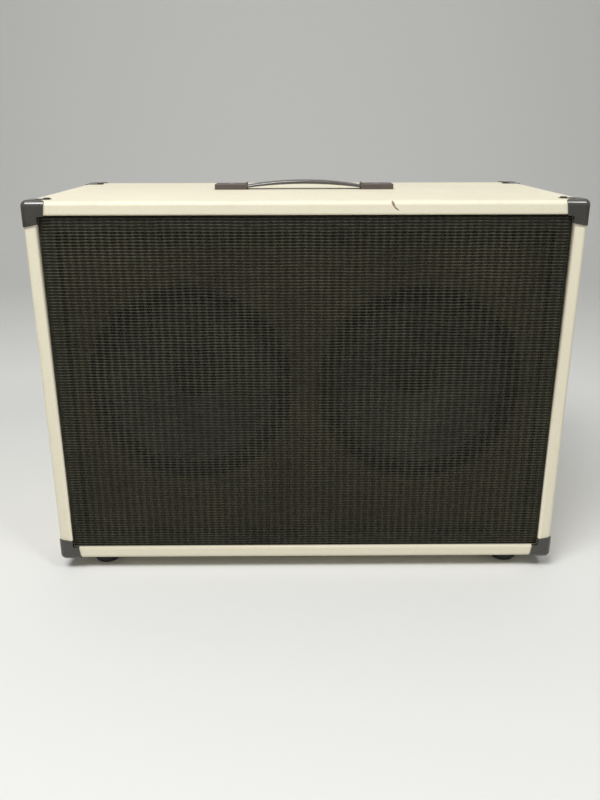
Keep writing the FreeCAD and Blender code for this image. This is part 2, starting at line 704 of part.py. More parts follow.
def speaker_lead(way):
    """The lead from a jack tag along the floor of the box to a loudspeaker's terminals."""
    floor = INNER_LOW + LEAD_RADIUS + 0.3
    tag_end = PANEL_OUTER - JACK_BODY_DEPTH - JACK_TAG_LENGTH
    terminal_y = BAFFLE_BACK + TERMINAL_DEPTH
    terminal_z = SPEAKER_HEIGHT - TERMINAL_REACH
    route = [
        (JACK_TAG_OFFSET, tag_end, JACK_HEIGHT),
        (JACK_TAG_OFFSET, 104.0, JACK_HEIGHT),
        (12.0, 84.0, 78.0),
        (22.0, 58.0, 48.0),
        (60.0, 30.0, floor),
        (105.0, -15.0, floor),
        (140.0, -60.0, floor),
        (158.0, -101.0, 45.0),
        (SPEAKER_OFFSET, -117.0, 73.0),
        (SPEAKER_OFFSET, terminal_y, 100.0),
        (SPEAKER_OFFSET, terminal_y, terminal_z),
    ]
    points = [Vector(way * x, y, z) for x, y, z in route]
    path = tangent_path(points)
    ring = Part.Wire(Part.makeCircle(LEAD_RADIUS, points[0], points[1] - points[0]))
    return outward(path.makePipeShell([ring], True, False).Solids[0])


def handle_screw_places():
    """The X of the two handle screws, in the middle of the end caps."""
    reach = (HANDLE_LENGTH - CAP_LENGTH) / 2
    return (-reach, reach)


def handle_screw_blanks():
    """The handle screws without their slots: countersunk head and shank."""
    neck = HIGH + CAP_HEIGHT - COUNTERSINK
    blanks = []
    for x in handle_screw_places():
        head = Part.makeCone(BOLT_RADIUS, 2 * BOLT_RADIUS, COUNTERSINK, Vector(x, HANDLE_BACK, neck))
        shank = Part.makeCylinder(BOLT_RADIUS, neck - INNER_HIGH, Vector(x, HANDLE_BACK, INNER_HIGH))
        blanks.append(single(head.fuse(shank)))
    return blanks


def handle_screws():
    """Screws down through the caps, the strap and the top board into the tee nuts."""
    top = HIGH + CAP_HEIGHT
    screws = []
    for x, blank in zip(handle_screw_places(), handle_screw_blanks()):
        slot = block(x - 3.0, x + 3.0, HANDLE_BACK - 0.5, HANDLE_BACK + 0.5, top - 1, top + 1)
        screws.append(single(blank.cut(slot)))
    return screws


def strap_arc(height, rise):
    """One edge of the strap's bow between the caps, from its height over the box at the caps."""
    mouth = HANDLE_LENGTH / 2 - CAP_LENGTH
    front = HANDLE_BACK - STRAP_WIDTH / 2
    ends = [Vector(x, front, HIGH + height) for x in (-mouth, mouth)]
    crown = Vector(0, front, HIGH + height + rise)
    return Part.Arc(ends[0], crown, ends[1]).toShape(), ends


def strap_bow():
    """The strap between the caps, thicker in its middle and with rounded upper edges."""
    lower_rise = STRAP_RISE + STRAP_END - STRAP_MIDDLE
    upper, upper_ends = strap_arc(STRAP_TAB, STRAP_RISE)
    lower, lower_ends = strap_arc(STRAP_TAB - STRAP_END, lower_rise)
    sides = [Part.makeLine(top, bottom) for top, bottom in zip(upper_ends, lower_ends)]
    face = Part.Face(Part.Wire([upper, sides[1], lower, sides[0]]))
    bow = outward(face.extrude(ALONG_Y * STRAP_WIDTH))
    crown = HIGH + STRAP_TAB + STRAP_RISE
    long_edges = [edge for edge in bow.Edges if edge.BoundBox.XLength > HANDLE_LENGTH / 2]
    return bow.makeFillet(STRAP_ROUND, [edge for edge in long_edges if edge.BoundBox.ZMax > crown - 0.1])


def strap_end(way):
    """One thick end of the strap, which fills its cap down to the top of the box."""
    mouth = HANDLE_LENGTH / 2 - CAP_LENGTH
    step = mouth + CAP_WALL
    end = HANDLE_LENGTH / 2 - STRAP_END_GAP
    front = HANDLE_BACK - STRAP_WIDTH / 2
    back = HANDLE_BACK + STRAP_WIDTH / 2
    bridge = block(mouth, step, front, back, HIGH + STRAP_TAB - STRAP_END, HIGH + STRAP_TAB)
    tab = block(step, end, front, back, HIGH, HIGH + STRAP_TAB)
    whole = single(bridge.fuse(tab))
    return whole if way > 0 else mirrored(whole, ALONG_X)


def handle_strap():
    """The bowed strap, its two thick ends under the caps with slots that let it slide in as it lifts."""
    strap = strap_bow().fuse([strap_end(-1), strap_end(1)])
    radius = BOLT_RADIUS + 2 * BOLT_CLEARANCE
    slots = []
    for x in handle_screw_places():
        far = x + math.copysign(STRAP_SLOT, x)
        ends = sorted((x, far))
        slots.append(block(ends[0], ends[1], HANDLE_BACK - radius, HANDLE_BACK + radius, HIGH - 1, HIGH + 9))
        slots += [Part.makeCylinder(radius, 10, Vector(end_x, HANDLE_BACK, HIGH - 1)) for end_x in ends]
    return single(strap.cut(slots))


def handle_cap():
    """The right end cap: a hollow cover open below, with a mouth and a lip for the strap."""
    outer_end = HANDLE_LENGTH / 2
    mouth = outer_end - CAP_LENGTH
    front = HANDLE_BACK - CAP_WIDTH / 2
    back = HANDLE_BACK + CAP_WIDTH / 2
    top = HIGH + CAP_HEIGHT
    cover = block(mouth, outer_end, front, back, HIGH, top)
    upper = [edge for edge in cover.Edges if edge.BoundBox.ZMax > top - 0.01]
    cover = cover.makeFillet(CAP_EDGE, [edge for edge in upper if edge.BoundBox.XMax > mouth + 0.01])
    lip = block(mouth, mouth + CAP_LIP_LENGTH, HANDLE_BACK - STRAP_WIDTH / 2, HANDLE_BACK + STRAP_WIDTH / 2,
                top - 1, top + CAP_LIP)
    hollow = block(mouth + CAP_WALL, outer_end - CAP_WALL, front + CAP_WALL, back - CAP_WALL,
                   HIGH - 1, top - CAP_WALL)
    slit = block(mouth - 1, mouth + CAP_WALL + 1, HANDLE_BACK - STRAP_WIDTH / 2 - 0.5,
                 HANDLE_BACK + STRAP_WIDTH / 2 + 0.5, HIGH - 1, HIGH + STRAP_TAB + 0.2)
    return single(cover.fuse(lip).cut([hollow, slit] + handle_screw_blanks()))


def leg_outline():
    """The two legs on the front face, each a little longer at its outer edge."""
    rail = SIDE - OPEN_SIDE + CORNER_LIP
    return [(-MARGIN, -MARGIN), (CORNER_ACROSS, -MARGIN), (CORNER_ACROSS, 0.0), (LEG_ACROSS, rail),
            (LEG_ACROSS, LEG_DOWN), (rail, LEG_DOWN), (0.0, CORNER_DOWN), (-MARGIN, CORNER_DOWN)]


def patch_outline(reach):
    """A patch's outline in steps inward and back: wide at the front, then narrow up to its screw."""
    ear_front = PATCH_SCREW_BACK - EAR_RADIUS
    return [(-MARGIN, -MARGIN), (reach, -MARGIN), (reach, PATCH_SHOULDER), (PATCH_NECK, PATCH_NECK_BACK),
            (PATCH_NECK, ear_front), (PATCH_SCREW_ACROSS, ear_front), (PATCH_SCREW_ACROSS, PATCH_BACK),
            (-MARGIN, PATCH_BACK)]


def patch_on_top():
    """The space over the right front corner's patch on the top, with a round ear for its screw."""
    outline = [Vector(SIDE - u, FRONT + v, MIDDLE) for u, v in patch_outline(CORNER_ACROSS)]
    centre = Vector(SIDE - PATCH_SCREW_ACROSS, FRONT + PATCH_SCREW_BACK, MIDDLE)
    ear = Part.makeCylinder(EAR_RADIUS, SIDE, centre, ALONG_Z)
    return prism(outline, ALONG_Z * SIDE).fuse(ear)


def patch_on_side():
    """The space beside the right front corner's patch on the side, with a round ear for its screw."""
    outline = [Vector(0, FRONT + v, HIGH - u) for u, v in patch_outline(CORNER_DOWN)]
    centre = Vector(0, FRONT + PATCH_SCREW_BACK, HIGH - PATCH_SCREW_ACROSS)
    ear = Part.makeCylinder(EAR_RADIUS, CABINET_WIDTH, centre, ALONG_X)
    return prism(outline, ALONG_X * CABINET_WIDTH).fuse(ear)


def corner_region():
    """The space of the right front top corner protector, cut from three outlines."""
    legs = [Vector(SIDE - u, FRONT - MARGIN, HIGH - w) for u, w in leg_outline()]
    return patch_on_top().common(patch_on_side()).common(prism(legs, ALONG_Y * SIDE))


def patch_hull():
    """The outside of the front corner protectors, which thin out towards the back."""
    near = FRONT - CORNER_WALL
    far = FRONT + PATCH_BACK
    return Part.makeWedge(-SIDE - CORNER_WALL, near, LOW - CORNER_WALL, LOW - PATCH_END, -SIDE - PATCH_END,
                          SIDE + CORNER_WALL, far, HIGH + CORNER_WALL, HIGH + PATCH_END, SIDE + PATCH_END)


def free_opening():
    """The opening at front and back that the corner protectors leave free, its corners cut off by a web."""
    side = OPEN_SIDE - CORNER_LIP
    reach = OPEN_HIGH - MIDDLE - CORNER_LIP
    points = []
    for x, z in ((1, 1), (-1, 1), (-1, -1), (1, -1)):
        near = Vector(x * side, FRONT - MARGIN, MIDDLE + z * reach)
        first = near - ALONG_X * (x * CORNER_WEB)
        second = near - ALONG_Z * (z * CORNER_WEB)
        points += [second, first] if x * z > 0 else [first, second]
    return prism(points, ALONG_Y * CABINET_DEPTH * 1.2)


def corner_screw_places(way):
    """The place and direction of the two screws of a right top corner protector, at the front or the rear."""
    back = way * (REAR - PATCH_SCREW_BACK)
    return [
        (Vector(SIDE - PATCH_SCREW_ACROSS, back, HIGH + PATCH_SEAT), ALONG_Z),
        (Vector(SIDE + PATCH_SEAT, back, HIGH - PATCH_SCREW_ACROSS), ALONG_X),
    ]


def to_corner(shape, x_way, z_way):
    """A piece of the right top corner, mirrored to another corner of the same end."""
    moved = shape.copy()
    if x_way < 0:
        moved = moved.mirror(ORIGIN, ALONG_X)
    if z_way < 0:
        moved = moved.mirror(Vector(0, 0, MIDDLE), ALONG_Z)
    return outward(moved)


CORNER_WAYS = {"top_left": (-1, 1), "top_right": (1, 1), "bottom_left": (-1, -1), "bottom_right": (1, -1)}


def corner_screws():
    """Two screws for each of the eight corner protectors."""
    screw = pan_screw(CORNER_SCREW_LENGTH)
    places = corner_screw_places(-1) + corner_screw_places(1)
    pattern = [placed(screw, place, direction) for place, direction in places]
    screws = []
    for x_way, z_way in CORNER_WAYS.values():
        screws += [single(to_corner(piece, x_way, z_way)) for piece in pattern]
    return screws


def corner_protectors(fasteners):
    """The eight moulded corners, made from a shell over the rounded box."""
    shell = cabinet_box(CORNER_WALL, CORNER_ROUND).cut(cabinet_box(0, EDGE_RADIUS))
    lips = [block(-OPEN_SIDE, OPEN_SIDE, FRONT, FRONT + LIP_DEPTH, OPEN_LOW, OPEN_HIGH),
            block(-OPEN_SIDE, OPEN_SIDE, REAR - LIP_DEPTH, REAR, OPEN_LOW, OPEN_HIGH)]
    shell = shell.fuse(lips).cut(free_opening())
    front = single(shell.common(corner_region()).common(patch_hull()))
    rear = mirrored(front, ALONG_Y)
    pieces = {}
    for end, pattern in (("front", front), ("rear", rear)):
        for name, (x_way, z_way) in CORNER_WAYS.items():
            piece = to_corner(pattern, x_way, z_way).cut(fasteners)
            pieces["corner_%s_%s" % (end, name)] = single(piece)
    return pieces


FOOT_WAYS = {"front_left": (-1, -1), "front_right": (1, -1), "rear_left": (-1, 1), "rear_right": (1, 1)}


def foot_place(x_way, y_way):
    """The middle of a foot on the floor."""
    return Vector(x_way * FOOT_SIDE, y_way * (REAR - FOOT_INSET), 0)


def rubber_foot(place, fasteners):
    """A tapered rubber foot with a well for its screw."""
    body = Part.makeCone(FOOT_BOTTOM_RADIUS, FOOT_TOP_RADIUS, FOOT_HEIGHT, place)
    well = Part.makeCylinder(FOOT_WELL_RADIUS, FOOT_WELL, place)
    return single(body.cut([well] + fasteners))


def foot_screws():
    """One screw up through each foot into the bottom board."""
    screw = pan_screw(FOOT_SCREW_LENGTH)
    return [placed(screw, foot_place(*way) + ALONG_Z * FOOT_WELL, -ALONG_Z) for way in FOOT_WAYS.values()]


def build():
    """All nodes, each as a list of solids."""
    corner_fasteners = corner_screws()
    foot_fasteners = foot_screws()
    rear_fasteners = rear_screws()
    handle_nut_places = [Vector(x, HANDLE_BACK, INNER_HIGH) for x in handle_screw_places()]
    handle_bores = fastener_bores(handle_nut_places, 0, BOARD + 2 * VINYL, ALONG_Z)
    speaker_bores = fastener_bores(bolt_places(), -1, BAFFLE + 2, ALONG_Y)

    through_box = corner_fasteners + foot_fasteners + handle_bores
    nodes = {node: [board] for node, board in boards(through_box).items()}
    nodes["vinyl_covering"] = [vinyl_covering(through_box)]
    nodes["baffle_battens"] = batten_frame(BAFFLE_BACK)
    rear_frame = batten_frame(PANEL_INNER - BATTEN)
    nodes["rear_battens"] = [single(batten.cut(rear_fasteners)) for batten in rear_frame]
    nodes["centre_brace"] = [centre_brace()]
    nodes["baffle_board"] = [baffle_board(speaker_bores)]
    nodes["grille_frame"] = [grille_frame()]
    nodes["grille_cloth"] = [grille_cloth()]
    nodes["grille_pads"] = grille_pads()
    nodes["rear_panel"] = [rear_panel(rear_fasteners)]
    nodes["rear_screws"] = rear_fasteners
    nodes["jack_plate"] = [jack_plate(rear_fasteners)]
    nodes["jack_socket"] = [jack_socket()]
    nodes["jack_nut"] = [jack_nut()]
    nodes["speaker_bolts"] = speaker_bolts()
    nodes["tee_nuts"] = tee_nuts()
    nodes["speaker_leads"] = [speaker_lead(-1), speaker_lead(1)]
    nodes["handle_strap"] = [handle_strap()]
    right_cap = handle_cap()
    nodes["handle_cap_right"] = [right_cap]
    nodes["handle_cap_left"] = [mirrored(right_cap, ALONG_X)]
    nodes["handle_screws"] = handle_screws()
    nodes["corner_screws"] = corner_fasteners
    for node, piece in corner_protectors(corner_fasteners).items():
        nodes[node] = [piece]
    for name, way in FOOT_WAYS.items():
        nodes["foot_" + name] = [rubber_foot(foot_place(*way), foot_fasteners)]
    nodes["foot_screws"] = foot_fasteners
    for piece, make in SPEAKER_PIECES.items():
        solid = make()
        for side, x in (("left", -SPEAKER_OFFSET), ("right", SPEAKER_OFFSET)):
            nodes["%s_%s" % (side, piece)] = [placed(solid, Vector(x, BAFFLE_BACK, SPEAKER_HEIGHT), ALONG_Z)]
    return nodes


os.makedirs("parts", exist_ok=True)
whole = FreeCAD.BoundBox()
for node, solids in build().items():
    whole.add(save(node, solids))
print("size %.1f x %.1f x %.1f mm" % (whole.XLength, whole.YLength, whole.ZLength))
print("middle %.2f, %.2f, lowest %.2f mm" % (whole.Center.x, whole.Center.y, whole.ZMin))
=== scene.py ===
"""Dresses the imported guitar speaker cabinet: covering, grille, corners, handle, feet and loudspeakers."""

import math

import bmesh
import bpy
from bpy.props import FloatProperty, FloatVectorProperty, IntProperty, PointerProperty
from mathutils import Matrix, Vector


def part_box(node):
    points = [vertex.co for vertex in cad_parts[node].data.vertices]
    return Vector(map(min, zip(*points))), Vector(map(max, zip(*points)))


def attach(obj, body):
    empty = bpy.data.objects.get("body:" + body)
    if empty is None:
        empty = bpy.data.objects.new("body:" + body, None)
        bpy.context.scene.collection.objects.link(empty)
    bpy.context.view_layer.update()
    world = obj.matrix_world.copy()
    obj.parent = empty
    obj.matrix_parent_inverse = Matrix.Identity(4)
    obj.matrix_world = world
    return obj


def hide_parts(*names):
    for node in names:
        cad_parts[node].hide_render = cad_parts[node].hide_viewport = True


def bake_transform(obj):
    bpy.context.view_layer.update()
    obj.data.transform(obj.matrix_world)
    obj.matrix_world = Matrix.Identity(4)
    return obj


bl_info = {
    "name": "Guitar Speaker Cabinet",
    "version": (1, 0, 0),
    "blender": (4, 5, 0),
    "location": "View3D > Sidebar > Cabinet",
    "description": "Dresses a packed speaker cabinet with its covering, grille, corners, handle and feet",
    "category": "Object",
}

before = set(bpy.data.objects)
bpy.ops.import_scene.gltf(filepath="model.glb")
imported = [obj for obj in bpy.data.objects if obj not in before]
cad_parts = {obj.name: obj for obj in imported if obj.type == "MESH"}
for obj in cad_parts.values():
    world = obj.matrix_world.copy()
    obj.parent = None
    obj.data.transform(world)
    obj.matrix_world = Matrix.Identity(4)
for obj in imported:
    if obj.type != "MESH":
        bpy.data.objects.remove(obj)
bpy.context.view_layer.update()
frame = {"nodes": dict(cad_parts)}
COVER_LOW, COVER_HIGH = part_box("vinyl_covering")
CLOTH_LOW, CLOTH_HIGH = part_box("grille_cloth")
STRAP_LOW, STRAP_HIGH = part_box("handle_strap")
CAP_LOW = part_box("handle_cap_right")[0]
CENTRE = (COVER_LOW + COVER_HIGH) / 2
HALF = (COVER_HIGH - COVER_LOW) / 2
SIDES = ("left", "right")
CORNERS = [node for node in frame["nodes"] if node.startswith("corner_") and node != "corner_screws"]
FEET = [node for node in frame["nodes"] if node.startswith("foot_") and node != "foot_screws"]

# Lengths in metres, angles in radians
NEAR = 1e-5
FLAT_ANGLE = math.radians(0.4)
SHARP_ANGLE = math.radians(38.0)
FOOT_WELL = 0.0075
FOOT_WELL_TOP = 0.010
FOOT_HOLE = 0.0024
FOOT_TAPER = 0.003

# Surface detail in metres
EDGE_REACH = 0.012
SCRATCH = (0.03, 0.0006, 0.0012)
FIGURE = (0.35, 0.03, 0.03)
PORE = (0.02, 0.0007, 0.0007)
FIBRE = (0.004, 0.00035, 1.0)
WEAVE_DRIFT = 0.0022
WEAVE_DEPTH = 0.0011
VINYL_DEPTH = 0.00012
MOULDED_DEPTH = 0.00006
WOOD_DEPTH = 0.0001
METAL_DEPTH = 0.00003

# Colours of small and hidden pieces
ZINC = (0.58, 0.57, 0.53)
COPPER = (0.55, 0.26, 0.13)
FERRITE = (0.06, 0.06, 0.065)
GASKET_BOARD = (0.07, 0.06, 0.05)
DOPED_CLOTH = (0.015, 0.015, 0.014)
RESIN_CLOTH = (0.48, 0.31, 0.12)
FIBRE_BOARD = (0.16, 0.08, 0.04)
DUSTY = (0.12, 0.12, 0.12)

# Stage, lengths in metres
SENSOR_MM = 36.0
SWEEP_STEPS = 24
SWEEP_HALF_WIDTH = 18.0
SWEEP_FRONT = -7.0
SWEEP_START = 2.0
SWEEP_BEND = 1.2
SWEEP_RISE = 4.0
KEY_PLACE = (-0.7, -1.4, 2.6)
KEY_SIZE = (1.4, 0.9)
TOP_PLACE = (0.0, 0.6, 2.6)
TOP_AIM = (0.0, 0.6, 0.0)
TOP_SIZE = (3.0, 2.6)
FILL_PLACE = (1.22, -1.45, 2.4)
FILL_SIZE = (0.6, 0.6)
LAMP_AIM = (0.0, 0.0, 0.3)


# Settings

def size_of(label, text, default):
    """A length that a user may change."""
    return FloatProperty(name=label, description=text, default=default, min=0.0, unit="LENGTH", precision=4)


def power_of(label, text, default):
    """A lamp's power that a user may change."""
    return FloatProperty(name=label, description=text, default=default, min=0.0, unit="POWER")


def angle_of(label, text, default):
    """An angle that a user may change."""
    return FloatProperty(name=label, description=text, default=default, subtype="ANGLE")


def colour_of(label, text, default):
    """A colour that a user may change."""
    return FloatVectorProperty(name=label, description=text, default=default, size=3, min=0.0, max=1.0,
                               subtype="COLOR")


class CabinetSizes(bpy.types.PropertyGroup):
    """Sizes of the dressing that the frame leaves open."""

    edge_round: size_of("Edge round", "Radius of the box's outer edges", 0.006)
    mouth_round: size_of("Mouth round", "Radius of the covering's turn into the openings", 0.003)
    gap: size_of("Grille gap", "Gap between the grille and the covering", 0.0007)
    turn_in: size_of("Turn-in", "Depth of the covering inside the openings", 0.019)
    vinyl: size_of("Vinyl", "Thickness of the covering", 0.0008)
    pebble: size_of("Pebble", "Size of the covering's grain", 0.0011)
    cloth_return: size_of("Cloth return", "Width of the cloth turned in behind its frame", 0.012)
    cloth: size_of("Cloth", "Thickness that the frame keeps for the cloth", 0.001)
    weave_column: size_of("Weave column", "Width of one column of the weave", 0.0101)
    weave_row: size_of("Weave row", "Height of one row of the weave", 0.0040)
    strap_end: size_of("Strap end", "Thickness of the handle's strap at its caps", 0.0038)
    strap_middle: size_of("Strap middle", "Thickness of the handle's strap in its middle", 0.0054)
    strap_tab: size_of("Strap tab", "Height of the strap's thick ends", 0.0062)
    strap_rise: size_of("Strap rise", "Height of the strap's bow", 0.0072)
    strap_round: size_of("Strap round", "Radius of the strap's upper edges", 0.0024)
    moulded_round: size_of("Moulded round", "Radius on the edges of moulded pieces", 0.0006)
    strap_cuts: IntProperty(name="Strap cuts", description="Cuts along each half of the strap", min=4,
                            default=30)


class CabinetColours(bpy.types.PropertyGroup):
    """Colours of the finishes."""

    vinyl: colour_of("Vinyl", "Off-white covering", (0.76, 0.710, 0.550))
    vinyl_soiled: colour_of("Soiled vinyl", "Covering where it is handled", (0.60, 0.54, 0.40))
    vinyl_torn: colour_of("Torn vinyl", "Backing that shows in the tear", (0.21, 0.15, 0.09))
    cloth: colour_of("Cloth", "Yarn of the grille cloth", (0.005, 0.0048, 0.0035))
    # Painted highlight: the colour that the crowns of the cloth's threads are lightened towards, further on
    # some threads than others.
    cloth_highlight: colour_of("Light yarn", "Palest yarn of the grille cloth", (0.090, 0.087, 0.054))
    corner: colour_of("Corner", "Moulded corners", (0.030, 0.027, 0.021))
    corner_worn: colour_of("Worn corner", "Scuffed moulded plastic", (0.12, 0.11, 0.10))
    cap: colour_of("Cap", "Handle caps", (0.072, 0.057, 0.047))
    strap: colour_of("Strap", "Handle strap", (0.044, 0.037, 0.032))
    rubber: colour_of("Rubber", "Feet", (0.018, 0.018, 0.018))
    stained: colour_of("Stained wood", "Baffle", (0.104, 0.079, 0.043))
    frame: colour_of("Frame", "Grille frame", (0.030, 0.025, 0.017))
    plywood: colour_of("Plywood", "Boards of the box", (0.56, 0.38, 0.21))
    paper: colour_of("Cone paper", "Loudspeaker cones", (0.074, 0.074, 0.064))
    cap_paper: colour_of("Cap paper", "Dust caps", (0.012, 0.012, 0.011))


class CabinetStage(bpy.types.PropertyGroup):
    """Light, floor and camera."""

    floor: colour_of("Floor", "Pale floor and sweep", (0.74, 0.74, 0.72))
    ambient: FloatProperty(name="Ambient", description="Strength of the surrounding light", min=0.0,
                           default=0.23)
    key_power: power_of("Key", "Power of the large front light", 66.0)
    top_power: power_of("Top", "Power of the overhead light", 11.0)
    fill_power: power_of("Fill", "Power of the light from the upper right", 17.0)
    lens: FloatProperty(name="Lens", description="Focal length", default=34.828, unit="CAMERA")
    pitch: angle_of("Pitch", "Downward tilt of the camera", 0.33597)
    roll: angle_of("Roll", "Roll of the camera", -0.00219)
    yaw: angle_of("Yaw", "Turn of the camera to the left", -0.00568)
    camera: FloatVectorProperty(name="Camera", description="Place of the camera", subtype="TRANSLATION",
                                default=(-0.0137, -1.18352, 0.61676), unit="LENGTH")


# Shader helpers

def add(tree, kind, inputs=None, **settings):
    """A node with its settings, its inputs linked or set."""
    made = tree.nodes.new(kind)
    for name, value in settings.items():
        setattr(made, name, value)
    for key, value in (inputs or {}).items():
        join(tree, value, made.inputs[key])
    return made


def join(tree, value, socket):
    """Links a socket to another one, or sets its value."""
    if isinstance(value, bpy.types.NodeSocket):
        tree.links.new(value, socket)
    else:
        socket.default_value = value


def maths(tree, operation, first, second=0.0, third=0.0):
    """The result of one sum."""
    return add(tree, "ShaderNodeMath", {0: first, 1: second, 2: third}, operation=operation).outputs[0]


def times(tree, first, second):
    """The product of two values."""
    return maths(tree, "MULTIPLY", first, second)


def apart(tree, value, middle):
    """How far a value is from a middle."""
    return maths(tree, "ABSOLUTE", maths(tree, "SUBTRACT", value, middle))


def ramp(tree, value, low, high, to_low=0.0, to_high=1.0):
    """A value taken smoothly from one range to another."""
    given = {"Value": value, "From Min": low, "From Max": high, "To Min": to_low, "To Max": to_high}
    return add(tree, "ShaderNodeMapRange", given, interpolation_type="SMOOTHSTEP").outputs["Result"]


def mixed(tree, share, first, second):
    """Two colours mixed by a share."""
    made = add(tree, "ShaderNodeMix", {0: share, 6: first, 7: second}, data_type="RGBA")
    return made.outputs[2]


def vectors(tree, operation, first, second=(0.0, 0.0, 0.0)):
    """The outputs of one sum of vectors."""
    return add(tree, "ShaderNodeVectorMath", {0: first, 1: second}, operation=operation).outputs


def noise(tree, vector, scale, detail=2.0, roughness=0.5):
    """Soft noise from 0 to 1."""
    given = {"Vector": vector, "Scale": scale, "Detail": detail, "Roughness": roughness}
    return add(tree, "ShaderNodeTexNoise", given).outputs["Fac"]


def stretched(tree, vector, scale, centre=(0.0, 0.0, 0.0), turn=(0.0, 0.0, 0.0)):
    """Coordinates about a centre, turned and then divided by a size along each axis."""
    given = {"Vector": vector, "Location": centre, "Rotation": turn, "Scale": scale}
    return add(tree, "ShaderNodeMapping", given, vector_type="TEXTURE").outputs["Vector"]


def new_group(name, inputs, outputs):
    """A shader node group with its sockets, and the sockets inside it."""
    tree = bpy.data.node_groups.new(name, "ShaderNodeTree")
    for label, kind in inputs:
        tree.interface.new_socket(name=label, in_out="INPUT", socket_type="NodeSocket" + kind)
    for label, kind in outputs:
        tree.interface.new_socket(name=label, in_out="OUTPUT", socket_type="NodeSocket" + kind)
    given = tree.nodes.new("NodeGroupInput").outputs
    put = tree.nodes.new("NodeGroupOutput").inputs
    return tree, given, put


def use_group(tree, maker, inputs):
    """A node group placed in a material, made the first time that it is used."""
    name = maker.__name__
    group = bpy.data.node_groups.get(name) or maker(name)
    return add(tree, "ShaderNodeGroup", inputs, node_tree=group).outputs


# Shared effects

def pebble_grain(name):
    """Embossed grain of a covering, with slow changes of tone."""
    tree, given, put = new_group(name, [("Vector", "Vector"), ("Pebble", "Float")],
                                 [("Height", "Float"), ("Mottle", "Float")])
    scale = maths(tree, "DIVIDE", 1.0, given["Pebble"])
    cells = {"Vector": given["Vector"], "Scale": scale, "Smoothness": 0.7}
    cells = add(tree, "ShaderNodeTexVoronoi", cells, feature="SMOOTH_F1")
    creases = ramp(tree, cells.outputs["Distance"], 0.1, 0.75, 1.0, 0.0)
    fine = noise(tree, given["Vector"], times(tree, scale, 1.7), 3.0)
    join(tree, maths(tree, "MULTIPLY_ADD", fine, 0.5, creases), put["Height"])
    join(tree, noise(tree, given["Vector"], 7.0, 5.0, 0.6), put["Mottle"])
    return tree


def box_edges(name):
    """How near a point is to an edge of a box."""
    tree, given, put = new_group(name, [("Vector", "Vector"), ("Centre", "Vector"), ("Half", "Vector"),
                                        ("Reach", "Float")], [("Mask", "Float")])
    moved = vectors(tree, "SUBTRACT", given["Vector"], given["Centre"])[0]
    flat = vectors(tree, "ABSOLUTE", moved)[0]
    inward = vectors(tree, "SUBTRACT", given["Half"], flat)[0]
    x, y, z = add(tree, "ShaderNodeSeparateXYZ", {0: inward}).outputs
    larger = maths(tree, "MAXIMUM", x, y)
    smaller = maths(tree, "MINIMUM", x, y)
    middle = maths(tree, "MAXIMUM", smaller, maths(tree, "MINIMUM", larger, z))
    join(tree, ramp(tree, middle, 0.0, given["Reach"], 1.0, 0.0), put["Mask"])
    return tree


def settled_dust(name):
    """Dust and grime on surfaces that face up."""
    tree, given, put = new_group(name, [("Vector", "Vector"), ("Amount", "Float")], [("Mask", "Float")])
    normal = add(tree, "ShaderNodeNewGeometry").outputs["Normal"]
    up = add(tree, "ShaderNodeSeparateXYZ", {0: normal}).outputs["Z"]
    facing = ramp(tree, up, 0.2, 0.95)
    patches = ramp(tree, noise(tree, given["Vector"], 38.0, 6.0, 0.65), 0.42, 0.8)
    dusty = times(tree, facing, patches)
    join(tree, times(tree, dusty, given["Amount"]), put["Mask"])
    return tree


def fine_scratches(name):
    """Short hairline scratches that run two ways."""
    tree, given, put = new_group(name, [("Vector", "Vector"), ("Amount", "Float")], [("Mask", "Float")])
    masks = []
    for turn in (0.5, -0.8):
        lines = stretched(tree, given["Vector"], SCRATCH, turn=(turn, turn * 0.6, turn))
        masks.append(ramp(tree, noise(tree, lines, 1.0, 3.0), 0.66, 0.74))
    both = maths(tree, "MAXIMUM", masks[0], masks[1])
    patches = ramp(tree, noise(tree, given["Vector"], 30.0), 0.45, 0.7)
    scratched = times(tree, both, patches)
    join(tree, times(tree, scratched, given["Amount"]), put["Mask"])
    return tree


def spark_texture(name):
    """Fine moulded texture of plastic and rubber, with slow changes of tone."""
    tree, given, put = new_group(name, [("Vector", "Vector"), ("Grain", "Float")],
                                 [("Height", "Float"), ("Mottle", "Float")])
    scale = maths(tree, "DIVIDE", 1.0, given["Grain"])
    join(tree, noise(tree, given["Vector"], scale, 2.0), put["Height"])
    join(tree, noise(tree, given["Vector"], 45.0, 4.0, 0.6), put["Mottle"])
    return tree


def wood_figure(name):
    """Long wood figure along X with fine pores."""
    tree, given, put = new_group(name, [("Vector", "Vector")], [("Figure", "Float"), ("Height", "Float")])
    slow = stretched(tree, given["Vector"], FIGURE)
    bent = noise(tree, slow, 1.0, 3.0)
    waves = {"Vector": slow, "Scale": 1.4, "Distortion": 6.0, "Detail": 3.0}
    rings = add(tree, "ShaderNodeTexWave", waves, bands_direction="Z").outputs["Fac"]
    pores = noise(tree, stretched(tree, given["Vector"], PORE), 1.0, 2.0)
    figure = maths(tree, "MULTIPLY_ADD", rings, 0.5, times(tree, bent, 0.5))
    figure = maths(tree, "MULTIPLY_ADD", pores, 0.35, times(tree, figure, 0.65))
    join(tree, figure, put["Figure"])
    join(tree, pores, put["Height"])
    return tree


def turned_rings(name):
    """Rings about the Y axis, as on pressed paper and turned steel."""
    tree, given, put = new_group(name, [("Vector", "Vector"), ("Pitch", "Float")],
                                 [("Height", "Float"), ("Radius", "Float")])
    x, _, z = add(tree, "ShaderNodeSeparateXYZ", {0: given["Vector"]}).outputs
    flat = add(tree, "ShaderNodeCombineXYZ", {"X": x, "Z": z}).outputs[0]
    radius = vectors(tree, "LENGTH", flat)["Value"]
    turns = times(tree, maths(tree, "DIVIDE", radius, given["Pitch"]), 2 * math.pi)
    join(tree, maths(tree, "MULTIPLY_ADD", maths(tree, "SINE", turns), 0.5, 0.5), put["Height"])
    join(tree, radius, put["Radius"])
    return tree


